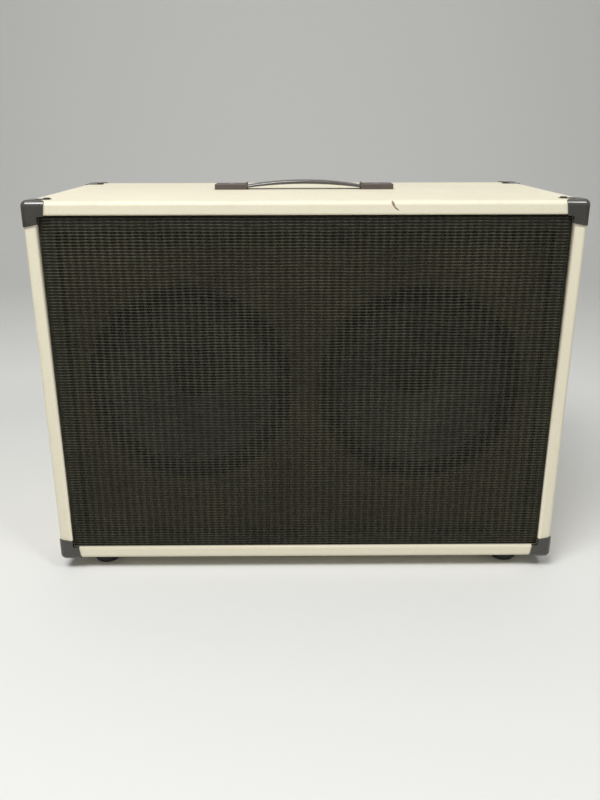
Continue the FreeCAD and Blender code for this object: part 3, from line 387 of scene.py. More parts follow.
def grille_weave(name):
    """Rows of thick weft bound by columns of warp, with small gaps between them, and a painted highlight on
    the crowns of the threads.
    """
    tree, given, put = new_group(name, [("Vector", "Vector"), ("Column", "Float"), ("Row", "Float")],
                                 [("Height", "Float"), ("Tone_and_highlight", "Float"), ("Cover", "Float")])
    drift = add(tree, "ShaderNodeTexNoise", {"Vector": given["Vector"], "Scale": 22.0, "Detail": 2.0})
    drift = vectors(tree, "SUBTRACT", drift.outputs["Color"], (0.5, 0.5, 0.5))[0]
    drift = vectors(tree, "MULTIPLY", drift, (WEAVE_DRIFT, WEAVE_DRIFT, WEAVE_DRIFT))[0]
    place = vectors(tree, "ADD", given["Vector"], drift)[0]
    u, v, _ = add(tree, "ShaderNodeSeparateXYZ", {0: place}).outputs
    column = maths(tree, "DIVIDE", u, given["Column"])
    row = maths(tree, "DIVIDE", v, given["Row"])
    across = apart(tree, maths(tree, "FRACT", column), 0.5)
    along = apart(tree, maths(tree, "FRACT", row), 0.5)

    float_top = ramp(tree, across, 0.15, 0.5, 0.92, 1.0)
    weft = times(tree, rounded(tree, along, 0.25), float_top)
    warp_place = maths(tree, "SUBTRACT", 0.5, across)
    warp = times(tree, rounded(tree, warp_place, 0.17), 0.6)
    thin = apart(tree, maths(tree, "FRACT", times(tree, column, 4.0)), 0.5)
    thin = times(tree, rounded(tree, thin, 0.10), 0.2)
    height = maths(tree, "MAXIMUM", weft, maths(tree, "MAXIMUM", warp, thin))

    number = {"X": maths(tree, "FLOOR", column), "Y": maths(tree, "FLOOR", row)}
    cell = add(tree, "ShaderNodeCombineXYZ", number).outputs[0]
    chance = add(tree, "ShaderNodeTexWhiteNoise", {"Vector": cell}).outputs["Value"]
    fibres = noise(tree, stretched(tree, place, FIBRE), 1.0, 2.0)
    slow = noise(tree, given["Vector"], 9.0, 3.0)
    tone = maths(tree, "MULTIPLY_ADD", chance, 0.3, times(tree, fibres, 0.3))
    tone = maths(tree, "MULTIPLY_ADD", slow, 0.8, tone)
    # Painted highlight: the middle of each weft float and the crown of each warp are lightened, on top of
    # the random tone.
    float_highlight = ramp(tree, across, 0.14, 0.36, 0.60, 1.0)
    lit = times(tree, ramp(tree, weft, 0.2, 0.95), float_highlight)
    lit = maths(tree, "MAXIMUM", lit, times(tree, warp, 0.35))
    join(tree, times(tree, tone, lit), put["Tone_and_highlight"])
    join(tree, maths(tree, "MULTIPLY_ADD", fibres, 0.02, height), put["Height"])
    join(tree, ramp(tree, height, 0.02, 0.14, 0.41, 0.94), put["Cover"])
    return tree


def rounded(tree, distance, radius):
    """The height of a round thread at a distance from its middle."""
    share = maths(tree, "DIVIDE", distance, radius)
    left = maths(tree, "SUBTRACT", 1.0, times(tree, share, share))
    return maths(tree, "SQRT", maths(tree, "MAXIMUM", left, 0.0))


# Finishes

def rgba(colour):
    """A colour with full alpha."""
    return (colour[0], colour[1], colour[2], 1.0)


def shaded(colour, share):
    """A colour made darker or lighter."""
    return tuple(min(1.0, part * share) for part in colour)


def new_finish(name, roughness, **constants):
    """An empty material with its shader, and its object coordinates."""
    material = bpy.data.materials.new(name)
    material.use_nodes = True
    tree = material.node_tree
    shader = tree.nodes["Principled BSDF"]
    shader.inputs["Roughness"].default_value = roughness
    for key, value in constants.items():
        shader.inputs[key.replace("_", " ")].default_value = value
    coordinates = add(tree, "ShaderNodeTexCoord").outputs["Object"]
    return material, tree, shader.inputs, coordinates


def bump(tree, height, distance, strength=1.0):
    """A normal from a height."""
    given = {"Height": height, "Distance": distance, "Strength": strength}
    return add(tree, "ShaderNodeBump", given).outputs["Normal"]


def tear_mask(tree, coordinates):
    """The slit in the covering: wide over the top front edge, then narrow and slanted down the front."""
    edge = [(0.0055, 0.0080, 0.0023), (0.1106, -0.1785, 0.5280), (0.0, 1.18, 0.0)]
    front = [(0.0060, 0.0040, 0.0012), (0.1145, -0.1800, 0.5224), (0.0, 0.65, 0.0)]
    masks = []
    for size, centre, turn in (edge, front):
        place = stretched(tree, coordinates, size, centre, turn)
        length = vectors(tree, "LENGTH", place)["Value"]
        ragged = maths(tree, "MULTIPLY_ADD", noise(tree, coordinates, 420.0), 0.5, length)
        masks.append(ramp(tree, ragged, 0.8, 1.15, 1.0, 0.0))
    return maths(tree, "MAXIMUM", masks[0], masks[1])


def vinyl_finish(name, colours, sizes, torn):
    """Off-white embossed vinyl with painted shade in its creases, soiled at its edges and, where asked for,
    torn in one place.
    """
    material, tree, shader, coordinates = new_finish(name, 0.5)
    grain = use_group(tree, pebble_grain, {"Vector": coordinates, "Pebble": sizes.pebble})
    box = {"Vector": coordinates, "Centre": CENTRE, "Half": HALF, "Reach": EDGE_REACH}
    edges = use_group(tree, box_edges, box)
    dust = use_group(tree, settled_dust, {"Vector": coordinates, "Amount": 0.22})
    patches = ramp(tree, noise(tree, coordinates, 26.0, 5.0, 0.7), 0.48, 0.75)
    soil = times(tree, edges["Mask"], patches)
    soil = maths(tree, "MAXIMUM", times(tree, soil, 0.55), dust["Mask"])
    # dark and pale vary the tone at random; the third colour is the painted shade for the creases.
    dark, pale, crease_shade = [rgba(shaded(colours.vinyl, share)) for share in (0.955, 1.03, 0.86)]
    plain = mixed(tree, grain["Mottle"], dark, pale)
    # Painted shade: where the grain is low, in its creases, the vinyl is darkened.
    with_crease_shade = mixed(tree, ramp(tree, grain["Height"], 0.9, 0.2, 0.0, 0.5), plain, crease_shade)
    colour = mixed(tree, soil, with_crease_shade, rgba(colours.vinyl_soiled))
    height = grain["Height"]
    if torn:
        tear = tear_mask(tree, coordinates)
        colour = mixed(tree, tear, colour, rgba(colours.vinyl_torn))
        height = maths(tree, "MULTIPLY_ADD", tear, -6.0, height)
    join(tree, colour, shader["Base Color"])
    join(tree, ramp(tree, grain["Mottle"], 0.3, 0.7, 0.44, 0.56), shader["Roughness"])
    join(tree, bump(tree, height, VINYL_DEPTH, 0.7), shader["Normal"])
    return material


def cloth_finish(name, colours, sizes):
    """Black grille cloth that lets some light through."""
    material, tree, shader, _ = new_finish(name, 0.62, Specular_IOR_Level=0.1)
    flat = add(tree, "ShaderNodeUVMap", uv_map="weave").outputs["UV"]
    given = {"Vector": flat, "Column": sizes.weave_column, "Row": sizes.weave_row}
    weave = use_group(tree, grille_weave, given)
    # The yarn runs from its own dark colour up to the painted highlight on the threads' crowns.
    yarn = mixed(tree, weave["Tone_and_highlight"], rgba(colours.cloth), rgba(colours.cloth_highlight))
    join(tree, yarn, shader["Base Color"])
    join(tree, weave["Cover"], shader["Alpha"])
    join(tree, bump(tree, weave["Height"], WEAVE_DEPTH, 0.9), shader["Normal"])
    return material


def moulded_finish(name, colour, worn, roughness, grain, scuffs, gloss=0.5):
    """Moulded plastic or rubber with a fine texture and scuffs."""
    material, tree, shader, coordinates = new_finish(name, roughness, Specular_IOR_Level=gloss)
    texture = use_group(tree, spark_texture, {"Vector": coordinates, "Grain": grain})
    dust = use_group(tree, settled_dust, {"Vector": coordinates, "Amount": 0.25})
    scratches = use_group(tree, fine_scratches, {"Vector": coordinates, "Amount": scuffs})
    plain = mixed(tree, texture["Mottle"], rgba(shaded(colour, 0.8)), rgba(shaded(colour, 1.2)))
    wear = maths(tree, "MAXIMUM", dust["Mask"], scratches["Mask"])
    join(tree, mixed(tree, wear, plain, rgba(worn)), shader["Base Color"])
    spread = ramp(tree, texture["Mottle"], 0.25, 0.75, roughness - 0.06, roughness + 0.08)
    join(tree, spread, shader["Roughness"])
    join(tree, bump(tree, texture["Height"], MOULDED_DEPTH, 0.6), shader["Normal"])
    return material


def wood_finish(name, colour, contrast, roughness):
    """Wood with its figure along X."""
    material, tree, shader, coordinates = new_finish(name, roughness)
    wood = use_group(tree, wood_figure, {"Vector": coordinates})
    dark = rgba(shaded(colour, 1.0 - contrast))
    pale = rgba(shaded(colour, 1.0 + contrast))
    join(tree, mixed(tree, wood["Figure"], dark, pale), shader["Base Color"])
    spread = ramp(tree, wood["Figure"], 0.2, 0.8, roughness - 0.08, roughness + 0.06)
    join(tree, spread, shader["Roughness"])
    join(tree, bump(tree, wood["Height"], WOOD_DEPTH, 0.5), shader["Normal"])
    return material


def metal_finish(name, colour, roughness, metallic=1.0):
    """Plated or painted metal with hairlines."""
    material, tree, shader, coordinates = new_finish(name, roughness, Metallic=metallic)
    texture = use_group(tree, spark_texture, {"Vector": coordinates, "Grain": 0.0009})
    scratches = use_group(tree, fine_scratches, {"Vector": coordinates, "Amount": 0.5})
    plain = mixed(tree, texture["Mottle"], rgba(shaded(colour, 0.85)), rgba(shaded(colour, 1.1)))
    join(tree, mixed(tree, scratches["Mask"], plain, rgba(shaded(colour, 1.4))), shader["Base Color"])
    spread = ramp(tree, texture["Mottle"], 0.3, 0.7, roughness - 0.08, roughness + 0.1)
    join(tree, spread, shader["Roughness"])
    join(tree, bump(tree, texture["Height"], METAL_DEPTH, 0.4), shader["Normal"])
    return material


def pressed_finish(name, colour, centre, pitch, depth, roughness):
    """Pressed paper or resin-treated cloth with rings about its loudspeaker's axis, and painted shade in
    the troughs between the rings.
    """
    material, tree, shader, coordinates = new_finish(name, roughness)
    middle = stretched(tree, coordinates, (1.0, 1.0, 1.0), centre)
    rings = use_group(tree, turned_rings, {"Vector": middle, "Pitch": pitch})
    texture = use_group(tree, spark_texture, {"Vector": coordinates, "Grain": 0.0016})
    plain = mixed(tree, texture["Mottle"], rgba(shaded(colour, 0.82)), rgba(shaded(colour, 1.18)))
    # Painted shade: the troughs between the rings are darkened.
    lines = ramp(tree, rings["Height"], 0.0, 0.5, 0.35, 0.0)
    join(tree, mixed(tree, lines, plain, rgba(shaded(colour, 0.6))), shader["Base Color"])
    height = maths(tree, "MULTIPLY_ADD", texture["Height"], 0.35, rings["Height"])
    join(tree, bump(tree, height, depth, 0.8), shader["Normal"])
    spread = ramp(tree, texture["Mottle"], 0.3, 0.7, roughness - 0.06, roughness + 0.06)
    join(tree, spread, shader["Roughness"])
    return material


# Mesh helpers

def box_mesh(low, high):
    """A bmesh of one box between two corners."""
    bm = bmesh.new()
    bmesh.ops.create_cube(bm, size=1.0)
    bmesh.ops.scale(bm, vec=high - low, verts=bm.verts)
    bmesh.ops.translate(bm, vec=(low + high) / 2, verts=bm.verts)
    return bm


def round_edges(bm, edges, radius, segments):
    """Rounds edges of a bmesh."""
    bmesh.ops.bevel(bm, geom=edges, offset=radius, offset_type="OFFSET", segments=segments, profile=0.5,
                    affect="EDGES", clamp_overlap=True, material=-1)


def spun(profile, centre):
    """A closed outline of radius and height, turned about an upright axis."""
    bm = bmesh.new()
    verts = [bm.verts.new((centre.x + radius, centre.y, height)) for radius, height in profile]
    edges = [bm.edges.new(pair) for pair in zip(verts, verts[1:] + verts[:1])]
    bmesh.ops.spin(bm, geom=verts + edges, cent=centre, axis=(0.0, 0.0, 1.0), dvec=(0.0, 0.0, 0.0),
                   angle=2 * math.pi, steps=48, use_merge=True)
    bmesh.ops.remove_doubles(bm, verts=bm.verts, dist=1e-6)
    bmesh.ops.recalc_face_normals(bm, faces=bm.faces)
    return bm


def merged_copy(node):
    """A CAD node's mesh, merged and with its flat faces joined."""
    bm = bmesh.new()
    bm.from_mesh(frame["nodes"][node].data)
    bmesh.ops.remove_doubles(bm, verts=bm.verts, dist=2e-6)
    bmesh.ops.dissolve_limit(bm, angle_limit=FLAT_ANGLE, verts=bm.verts, edges=bm.edges)
    return bm


def new_object(name, bm, material):
    """An object from a bmesh with smooth faces and its finish."""
    for face in bm.faces:
        face.smooth = True
    mesh = bpy.data.meshes.new(name)
    bm.to_mesh(mesh)
    bm.free()
    mesh.materials.append(material)
    piece = bpy.data.objects.new(name, mesh)
    bpy.context.scene.collection.objects.link(piece)
    return piece


def new_piece(name, bm, material):
    """An object of the cabinet, with the slot of its material."""
    piece = new_object(name, bm, material)
    return piece


def soften(piece, width, segments=2):
    """Rounds the sharp edges of a piece and keeps its flats flat."""
    bevel = piece.modifiers.new("soft edges", "BEVEL")
    bevel.width = width
    bevel.segments = segments
    bevel.limit_method = "ANGLE"
    bevel.angle_limit = SHARP_ANGLE
    bevel.harden_normals = True
    keep_flat(piece)


def keep_flat(piece):
    """Normals that follow the large faces."""
    flat = piece.modifiers.new("flat faces", "WEIGHTED_NORMAL")
    flat.keep_sharp = True


def moulded_copy(node, name, material, width, segments=2):
    """A softened copy that stands for a CAD node on the cabinet."""
    piece = new_piece(name, merged_copy(node), material)
    soften(piece, width, segments)
    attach(piece, "cabinet")
    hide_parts(node)
    return piece


def finish_node(node, material):
    """Gives a CAD node its finish."""
    mesh = frame["nodes"][node].data
    mesh.materials.clear()
    mesh.materials.append(material)


# Covering

def open_end(bm, way, rail, depth):
    """Opens one end of the box and turns the covering in round the opening."""
    end = max(bm.faces, key=lambda face: face.calc_center_median().y * way)
    bmesh.ops.inset_region(bm, faces=[end], thickness=rail, use_even_offset=True)
    rim = list(end.edges)
    bmesh.ops.delete(bm, geom=[end], context="FACES_ONLY")
    turned = bmesh.ops.extrude_edge_only(bm, edges=rim)["geom"]
    verts = [item for item in turned if isinstance(item, bmesh.types.BMVert)]
    bmesh.ops.translate(bm, vec=(0.0, -way * depth, 0.0), verts=verts)


def at_end(edge, out):
    """Whether an edge lies in an end face, at the outline or at the opening."""
    return all(abs(abs(vert.co.y) - HALF.y) < NEAR and (abs(abs(vert.co.x) - HALF.x) < NEAR) == out
               for vert in edge.verts)


def covering_mesh(sizes):
    """The covering over the whole box, with rounded edges and turned-in openings."""
    rail = COVER_HIGH.x - CLOTH_HIGH.x - sizes.gap
    bm = box_mesh(COVER_LOW, COVER_HIGH)
    for way in (-1, 1):
        open_end(bm, way, rail, sizes.turn_in)
    outer = [edge for edge in bm.edges if at_end(edge, True)]
    mouth = [edge for edge in bm.edges if at_end(edge, False)]
    round_edges(bm, outer, sizes.edge_round, 6)
    round_edges(bm, mouth, sizes.mouth_round, 4)
    bmesh.ops.recalc_face_normals(bm, faces=bm.faces)
    return bm


class CABINET_OT_covering(bpy.types.Operator):
    """Make the vinyl covering of the box and of the rear panel"""

    bl_idname = "cabinet.covering"
    bl_label = "Covering"

    def execute(self, context):
        sizes = context.scene.cabinet_sizes
        colours = context.scene.cabinet_colours
        vinyl = vinyl_finish("cream vinyl", colours, sizes, True)
        piece = new_piece("covering", covering_mesh(sizes), vinyl)
        wall = piece.modifiers.new("vinyl", "SOLIDIFY")
        wall.thickness = sizes.vinyl
        wall.offset = -1.0
        keep_flat(piece)
        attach(piece, "cabinet")
        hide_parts("vinyl_covering")
        panel_vinyl = vinyl_finish("cream panel vinyl", colours, sizes, False)
        moulded_copy("rear_panel", "covered_panel", panel_vinyl, 0.0015, 3)
        return {"FINISHED"}


# Carcass

class CABINET_OT_carcass(bpy.types.Operator):
    """Finish the boards, the battens, the baffle with its tee nuts, the grille frame and its pads"""

    bl_idname = "cabinet.carcass"
    bl_label = "Carcass"

    def execute(self, context):
        colours = context.scene.cabinet_colours
        plywood = wood_finish("plywood", colours.plywood, 0.28, 0.62)
        softwood = wood_finish("softwood", shaded(colours.plywood, 1.15), 0.2, 0.6)
        stained = wood_finish("stained wood", colours.stained, 0.25, 0.7)
        felt = moulded_finish("hook and loop", (0.02, 0.02, 0.02), (0.07, 0.07, 0.07), 0.9, 0.0014, 0.3)
        for node in ("top_board", "bottom_board", "left_board", "right_board"):
            finish_node(node, plywood)
        for node in ("baffle_battens", "rear_battens", "centre_brace"):
            finish_node(node, softwood)
        for node in ("baffle_board", "tee_nuts"):
            finish_node(node, stained)
        finish_node("grille_frame", wood_finish("frame wood", colours.frame, 0.25, 0.7))
        finish_node("grille_pads", felt)
        return {"FINISHED"}


# Grille cloth

def lay_weave(bm, low, high):
    """Lays the cloth's own map in metres, unrolled round the frame from the front."""
    layer = bm.loops.layers.uv.new("weave")
    middle = (low + high) / 2
    half = (high - low) / 2
    bm.normal_update()
    for face in bm.faces:
        centre = face.calc_center_median() - middle
        sideways = abs(centre.x) / half.x > abs(centre.z) / half.z
        for loop in face.loops:
            point = loop.vert.co - middle
            behind = face.normal.y > 0.5
            extra = point.y + half.y
            if behind:
                inset = half.x - abs(point.x) if sideways else half.z - abs(point.z)
                extra += inset
            u, v = point.x, point.z
            if face.normal.y > -0.5 and sideways:
                u = math.copysign(half.x + extra, centre.x)
            elif face.normal.y > -0.5:
                v = math.copysign(half.z + extra, centre.z)
            loop[layer].uv = (u, v)


def cloth_mesh(sizes):
    """The cloth round its frame: front, four edges and the turned-in return."""
    inset = Vector((0.5, 0.5, 0.5)) * sizes.cloth
    low = CLOTH_LOW + inset
    high = CLOTH_HIGH - inset
    bm = box_mesh(low, high)
    back = max(bm.faces, key=lambda face: face.calc_center_median().y)
    bmesh.ops.inset_region(bm, faces=[back], thickness=sizes.cloth_return, use_even_offset=True)
    bmesh.ops.delete(bm, geom=[back], context="FACES_ONLY")
    lay_weave(bm, low, high)
    sharp = [edge for edge in bm.edges if edge.is_manifold and edge.calc_face_angle() > 0.5]
    round_edges(bm, sharp, 1.5 * sizes.cloth, 3)
    return bm


class CABINET_OT_grille(bpy.types.Operator):
    """Stretch the grille cloth over its frame"""

    bl_idname = "cabinet.grille"
    bl_label = "Grille cloth"

    def execute(self, context):
        sizes = context.scene.cabinet_sizes
        cloth = cloth_finish("black grille cloth", context.scene.cabinet_colours, sizes)
        piece = new_piece("stretched_cloth", cloth_mesh(sizes), cloth)
        keep_flat(piece)
        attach(piece, "cabinet")
        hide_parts("grille_cloth")
        return {"FINISHED"}


# Corners

class CABINET_OT_corners(bpy.types.Operator):
    """Make the eight moulded corners and finish their screws"""

    bl_idname = "cabinet.corners"
    bl_label = "Corners"

    def execute(self, context):
        sizes = context.scene.cabinet_sizes
        colours = context.scene.cabinet_colours
        plastic = moulded_finish("corner plastic", colours.corner, colours.corner_worn, roughness=0.20,
                                 grain=0.0020, scuffs=0.5, gloss=0.8)
        for node in CORNERS:
            moulded_copy(node, "moulded_" + node, plastic, sizes.moulded_round)
        finish_node("corner_screws", metal_finish("black screw", (0.05, 0.048, 0.045), 0.42, 0.6))
        return {"FINISHED"}


# Handle

def arc_height(rise, reach, x):
    """The height of an arc between the caps at a distance from its middle."""
    if x >= reach:
        return 0.0
    bend = (reach ** 2 + rise ** 2) / (2 * rise)
    return rise - bend + math.sqrt(bend ** 2 - x ** 2)


def bow_strap(bm, sizes, under, reach):
    """Bends a straight half of the strap, thickens it towards its middle and fills its end."""
    lower_rise = sizes.strap_rise + sizes.strap_end - sizes.strap_middle
    for vert in bm.verts:
        share = (vert.co.z - under) / sizes.strap_end
        lower = arc_height(lower_rise, reach, vert.co.x)
        upper = arc_height(sizes.strap_rise, reach, vert.co.x)
        vert.co.z += lower + share * (upper - lower)
        if vert.co.x > reach + sizes.strap_end and share < 0.01:
            vert.co.z = COVER_HIGH.z


def along_strap(bm, reach):
    """The edges that run along the strap."""
    return [edge for edge in bm.edges if abs(edge.verts[0].co.x - edge.verts[1].co.x) > reach]


def strap_half(sizes, way):
    """One half of the strap, bowed from its middle down to its thick end under the cap."""
    reach = CAP_LOW.x
    under = COVER_HIGH.z + sizes.strap_tab - sizes.strap_end
    low = Vector((0.0, STRAP_LOW.y, under))
    high = Vector((STRAP_HIGH.x, STRAP_HIGH.y, COVER_HIGH.z + sizes.strap_tab))
    bm = box_mesh(low, high)
    inner = min(bm.faces, key=lambda face: face.calc_center_median().x)
    bmesh.ops.delete(bm, geom=[inner], context="FACES_ONLY")
    round_edges(bm, [edge for edge in along_strap(bm, reach) if edge.verts[0].co.z > under + NEAR],
                sizes.strap_round, 6)
    round_edges(bm, [edge for edge in along_strap(bm, reach) if edge.verts[0].co.z < under + NEAR],
                sizes.moulded_round, 2)
    bmesh.ops.subdivide_edges(bm, edges=along_strap(bm, reach), cuts=sizes.strap_cuts, use_grid_fill=True)
    bow_strap(bm, sizes, under, reach)
    bmesh.ops.scale(bm, vec=(way, 1.0, 1.0), verts=bm.verts)
    bmesh.ops.recalc_face_normals(bm, faces=bm.faces)
    return bm


class CABINET_OT_handle(bpy.types.Operator):
    """Make the strap handle, its caps and its screws"""

    bl_idname = "cabinet.handle"
    bl_label = "Handle"

    def execute(self, context):
        sizes = context.scene.cabinet_sizes
        colours = context.scene.cabinet_colours
        rubber = moulded_finish("strap rubber", colours.strap, shaded(colours.strap, 2.2), roughness=0.20,
                                grain=0.0018, scuffs=0.3, gloss=0.9)
        plastic = moulded_finish("handle plastic", colours.cap, colours.corner_worn, 0.46, 0.0006, 0.4)
        for side, way in zip(SIDES, (-1, 1)):
            half = new_piece("strap_" + side, strap_half(sizes, way), rubber)
            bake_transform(half)
            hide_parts("handle_strap")
            moulded_copy("handle_cap_" + side, "moulded_cap_" + side, plastic, 0.0007)
        finish_node("handle_screws", metal_finish("nickel", (0.62, 0.60, 0.56), 0.28))
        return {"FINISHED"}


# Feet

def foot_mesh(node):
    """A rubber foot with rounded rims and a well for its screw."""
    low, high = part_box(node)
    centre = Vector(((low.x + high.x) / 2, (low.y + high.y) / 2, 0.0))
    top = high.z
    wide = (high.x - low.x) / 2
    base = wide - FOOT_TAPER
    well = [(FOOT_HOLE, FOOT_WELL_TOP), (FOOT_WELL, FOOT_WELL_TOP), (FOOT_WELL, 0.001),
            (FOOT_WELL + 0.001, 0.0)]
    lower_rim = [(base - 0.0032, 0.0), (base - 0.0015, 0.0007), (base - 0.0005, 0.0024), (base, 0.0050)]
    upper_rim = [(wide - 0.0008, top - 0.0045), (wide, top - 0.0030), (wide, top - 0.0010),
                 (wide - 0.0008, top)]
    return spun(well + lower_rim + upper_rim + [(FOOT_HOLE, top)], centre)


class CABINET_OT_feet(bpy.types.Operator):
    """Make the four rubber feet and finish their screws"""

    bl_idname = "cabinet.feet"
    bl_label = "Feet"

    def execute(self, context):
        colours = context.scene.cabinet_colours
        rubber = moulded_finish("foot rubber", colours.rubber, (0.09, 0.085, 0.08), 0.62, 0.0008, 0.3)
        for node in FEET:
            piece = new_piece("rubber_" + node, foot_mesh(node), rubber)
            keep_flat(piece)
            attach(piece, "cabinet")
            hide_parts(node)
        finish_node("foot_screws", metal_finish("zinc fasteners", ZINC, 0.34))
        return {"FINISHED"}


# Rear fittings

class CABINET_OT_rear_fittings(bpy.types.Operator):
    """Finish the jack, its plate and the panel's screws"""

    bl_idname = "cabinet.rear_fittings"
    bl_label = "Rear fittings"

    def execute(self, context):
        black = metal_finish("black steel plate", (0.025, 0.024, 0.023), 0.45, 0.0)
        moulded_copy("jack_plate", "jack_plate_softened", black, 0.0003)
        nylon = moulded_finish("black nylon", (0.03, 0.03, 0.03), (0.1, 0.1, 0.1), 0.5, 0.0006, 0.2)
        finish_node("jack_socket", nylon)
        nickel = metal_finish("jack nickel", (0.66, 0.64, 0.60), 0.26)
        moulded_copy("jack_nut", "jack_nut_softened", nickel, 0.0003)
        finish_node("rear_screws", metal_finish("rear screw", (0.06, 0.058, 0.055), 0.4, 0.7))
        return {"FINISHED"}


# Loudspeakers

def speaker_finishes(side, colours):
    """The finishes of one loudspeaker's pieces, with rings about its axis."""
    low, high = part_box(side + "_cone")
    centre = (low + high) / 2
    tag = side + " "
    steel = metal_finish(tag + "zinc", ZINC, 0.36)
    return {
        "basket": metal_finish(tag + "basket", (0.022, 0.022, 0.022), 0.42, 0.0),
        "gasket": moulded_finish(tag + "gasket", GASKET_BOARD, (0.12, 0.11, 0.1), 0.85, 0.002, 0.2),
        "surround": pressed_finish(tag + "surround", DOPED_CLOTH, centre, 0.003, 0.0002, 0.6),
        "cone": pressed_finish(tag + "cone", colours.paper, centre, 0.0125, 0.0006, 0.72),
        "dust_cap": pressed_finish(tag + "cap", colours.cap_paper, centre, 0.004, 0.0001, 0.66),
        "voice_coil": metal_finish(tag + "coil", COPPER, 0.35),
        "spider": pressed_finish(tag + "spider", RESIN_CLOTH, centre, 0.0012, 0.0001, 0.8),
        "top_plate": steel,
        "magnet": moulded_finish(tag + "ferrite", FERRITE, DUSTY, 0.6, 0.0015, 0.3),
        "back_plate": steel,
        "terminals": moulded_finish(tag + "board", FIBRE_BOARD, (0.3, 0.2, 0.1), 0.6, 0.001, 0.2),
    }


class CABINET_OT_loudspeakers(bpy.types.Operator):
    """Finish both loudspeakers and their bolts"""

    bl_idname = "cabinet.loudspeakers"
    bl_label = "Loudspeakers"

    def execute(self, context):
        for side in SIDES:
            for piece, material in speaker_finishes(side, context.scene.cabinet_colours).items():
                finish_node(side + "_" + piece, material)
        finish_node("speaker_bolts", metal_finish("black bolt", (0.03, 0.03, 0.03), 0.45, 0.5))
        return {"FINISHED"}


# Leads

LEAD_ROUTE = (
    (0.005, 0.128, 0.110),
    (0.005, 0.104, 0.110),
    (0.012, 0.084, 0.078),
    (0.022, 0.058, 0.048),
    (0.060, 0.030, 0.0396),
    (0.105, -0.015, 0.0396),
    (0.140, -0.060, 0.0396),
    (0.158, -0.101, 0.045),
    (0.1605, -0.117, 0.073),
    (0.1605, -0.131, 0.100),
    (0.1605, -0.131, 0.127),
)


def lead_curve(name, way, material):
    """A lead as one smooth line from the jack to a loudspeaker's tags."""
    curve = bpy.data.curves.new(name, "CURVE")
    curve.dimensions = "3D"
    curve.bevel_depth = 0.0025
    curve.bevel_resolution = 4
    curve.resolution_u = 12
    spline = curve.splines.new("NURBS")
    spline.points.add(len(LEAD_ROUTE) - 1)
    for point, (x, y, z) in zip(spline.points, LEAD_ROUTE):
        point.co = (way * x, y, z, 1.0)
    spline.order_u = 3
    spline.use_endpoint_u = True
    curve.materials.append(material)
    piece = bpy.data.objects.new(name, curve)
    bpy.context.scene.collection.objects.link(piece)
    return piece


class CABINET_OT_leads(bpy.types.Operator):
    """Lay the two loudspeaker leads inside the box"""

    bl_idname = "cabinet.leads"
    bl_label = "Leads"

    def execute(self, context):
        jacket = moulded_finish("lead jacket", (0.02, 0.02, 0.02), (0.08, 0.08, 0.08), 0.5, 0.0008, 0.2)
        for side, way in zip(SIDES, (-1, 1)):
            piece = lead_curve("lead_" + side, way, jacket)
            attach(piece, "cabinet")
            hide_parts("speaker_leads")
        return {"FINISHED"}


# Stage

def sweep_mesh():
    """A floor that curves up behind the cabinet."""
    profile = [(SWEEP_FRONT, 0.0)]
    for step in range(SWEEP_STEPS + 1):
        angle = step * math.pi / 2 / SWEEP_STEPS
        profile.append((SWEEP_START + SWEEP_BEND * math.sin(angle), SWEEP_BEND * (1.0 - math.cos(angle))))
    profile.append((SWEEP_START + SWEEP_BEND, SWEEP_BEND + SWEEP_RISE))
    bm = bmesh.new()
    left, right = [[bm.verts.new((way * SWEEP_HALF_WIDTH, y, z)) for y, z in profile] for way in (-1, 1)]
    for step in range(len(profile) - 1):
        bm.faces.new((left[step], right[step], right[step + 1], left[step + 1]))
    return bm


def floor_finish(colour):
    """Plain pale floor with the faintest mottling."""
    material, tree, shader, coordinates = new_finish("pale floor", 0.75)
    texture = use_group(tree, spark_texture, {"Vector": coordinates, "Grain": 0.004})
    plain = mixed(tree, texture["Mottle"], rgba(shaded(colour, 0.985)), rgba(colour))
    join(tree, plain, shader["Base Color"])
    return material


def soft_light(name, place, aim, size, power):
    """A large area light that isn't seen itself."""
    data = bpy.data.lights.new(name, "AREA")
    data.shape = "RECTANGLE"
    data.size = size[0]
    data.size_y = size[1]
    data.energy = power
    lamp = bpy.data.objects.new(name, data)
    lamp.location = place
    lamp.rotation_euler = (Vector(aim) - Vector(place)).to_track_quat("-Z", "Y").to_euler()
    lamp.visible_camera = False
    bpy.context.scene.collection.objects.link(lamp)


def pale_world(colour, ambient):
    """Surrounding light, with a pale ground where it is seen."""
    world = bpy.data.worlds.new("studio")
    world.use_nodes = True
    tree = world.node_tree
    soft = tree.nodes["Background"]
    soft.inputs["Color"].default_value = (1.0, 1.0, 1.0, 1.0)
    soft.inputs["Strength"].default_value = ambient
    seen = add(tree, "ShaderNodeBackground", {"Color": rgba(colour), "Strength": 1.0})
    path = add(tree, "ShaderNodeLightPath").outputs
    straight = maths(tree, "MAXIMUM", path["Is Camera Ray"], path["Is Glossy Ray"])
    straight = maths(tree, "MAXIMUM", straight, path["Is Transmission Ray"])
    both = add(tree, "ShaderNodeMixShader", {0: straight, 1: soft.outputs[0], 2: seen.outputs[0]})
    join(tree, both.outputs[0], tree.nodes["World Output"].inputs["Surface"])
    bpy.context.scene.world = world


def aim_camera(settings):
    """The camera at the cabinet's viewing angle."""
    data = bpy.data.cameras.new("camera")
    data.lens = settings.lens
    data.sensor_width = SENSOR_MM
    camera = bpy.data.objects.new("camera", data)
    turn = Matrix.Rotation(settings.yaw, 4, "Z")
    tilt = Matrix.Rotation(math.pi / 2 - settings.pitch, 4, "X")
    roll = Matrix.Rotation(settings.roll, 4, "Z")
    camera.matrix_world = Matrix.Translation(settings.camera) @ turn @ tilt @ roll
    bpy.context.scene.collection.objects.link(camera)
    bpy.context.scene.camera = camera


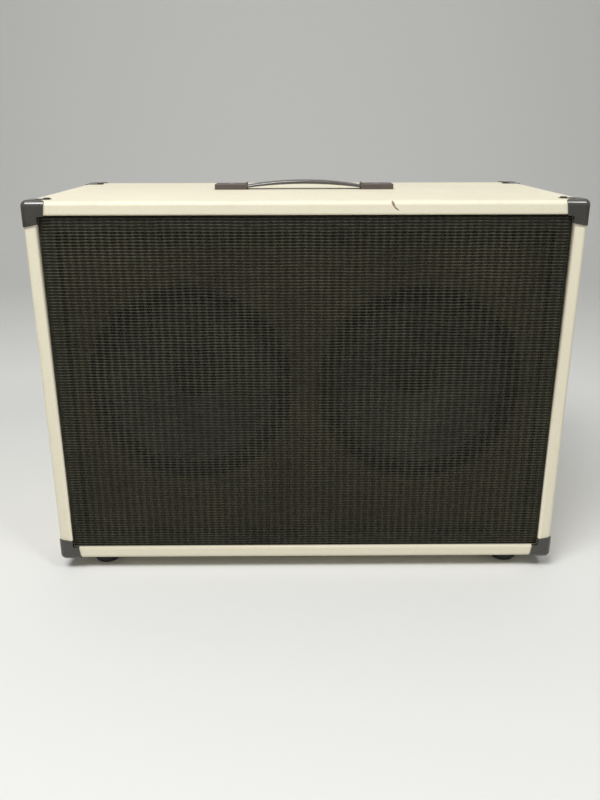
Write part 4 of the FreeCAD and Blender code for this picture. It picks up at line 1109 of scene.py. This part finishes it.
class CABINET_OT_stage(bpy.types.Operator):
    """Set the floor, the lights and the camera"""

    bl_idname = "cabinet.stage"
    bl_label = "Stage"

    def execute(self, context):
        settings = context.scene.cabinet_stage
        context.scene.view_settings.view_transform = "Standard"
        floor = new_object("sweep", sweep_mesh(), floor_finish(settings.floor))
        soft_light("key", KEY_PLACE, LAMP_AIM, KEY_SIZE, settings.key_power)
        soft_light("overhead", TOP_PLACE, TOP_AIM, TOP_SIZE, settings.top_power)
        soft_light("fill", FILL_PLACE, LAMP_AIM, FILL_SIZE, settings.fill_power)
        pale_world(settings.floor, settings.ambient)
        aim_camera(settings)
        return {"FINISHED"}


# Add-on

OPERATORS = (
    CABINET_OT_stage,
    CABINET_OT_leads,
    CABINET_OT_covering,
    CABINET_OT_carcass,
    CABINET_OT_grille,
    CABINET_OT_corners,
    CABINET_OT_handle,
    CABINET_OT_feet,
    CABINET_OT_rear_fittings,
    CABINET_OT_loudspeakers,
)


class CABINET_PT_pieces(bpy.types.Panel):
    """Lists the pieces of the cabinet and their settings"""

    bl_label = "Speaker cabinet"
    bl_idname = "CABINET_PT_pieces"
    bl_space_type = "VIEW_3D"
    bl_region_type = "UI"
    bl_category = "Cabinet"

    def draw(self, context):
        layout = self.layout
        for operator in OPERATORS:
            layout.operator(operator.bl_idname)
        scene = context.scene
        for settings in (scene.cabinet_sizes, scene.cabinet_colours, scene.cabinet_stage):
            box = layout.box()
            for name in settings.bl_rna.properties.keys():
                if name not in ("rna_type", "name"):
                    box.prop(settings, name)


CLASSES = (CabinetSizes, CabinetColours, CabinetStage) + OPERATORS + (CABINET_PT_pieces,)


def register():
    """Registers the settings, the operators and the panel."""
    for item in CLASSES:
        bpy.utils.register_class(item)
    bpy.types.Scene.cabinet_sizes = PointerProperty(type=CabinetSizes)
    bpy.types.Scene.cabinet_colours = PointerProperty(type=CabinetColours)
    bpy.types.Scene.cabinet_stage = PointerProperty(type=CabinetStage)


def unregister():
    """Takes them out again."""
    del bpy.types.Scene.cabinet_stage
    del bpy.types.Scene.cabinet_colours
    del bpy.types.Scene.cabinet_sizes
    for item in reversed(CLASSES):
        bpy.utils.unregister_class(item)


def main():
    """Builds everything in order."""
    register()
    bpy.ops.cabinet.stage()
    bpy.ops.cabinet.leads()
    bpy.ops.cabinet.covering()
    bpy.ops.cabinet.carcass()
    bpy.ops.cabinet.grille()
    bpy.ops.cabinet.corners()
    bpy.ops.cabinet.handle()
    bpy.ops.cabinet.feet()
    bpy.ops.cabinet.rear_fittings()
    bpy.ops.cabinet.loudspeakers()


if __name__ == "__main__":
    main()
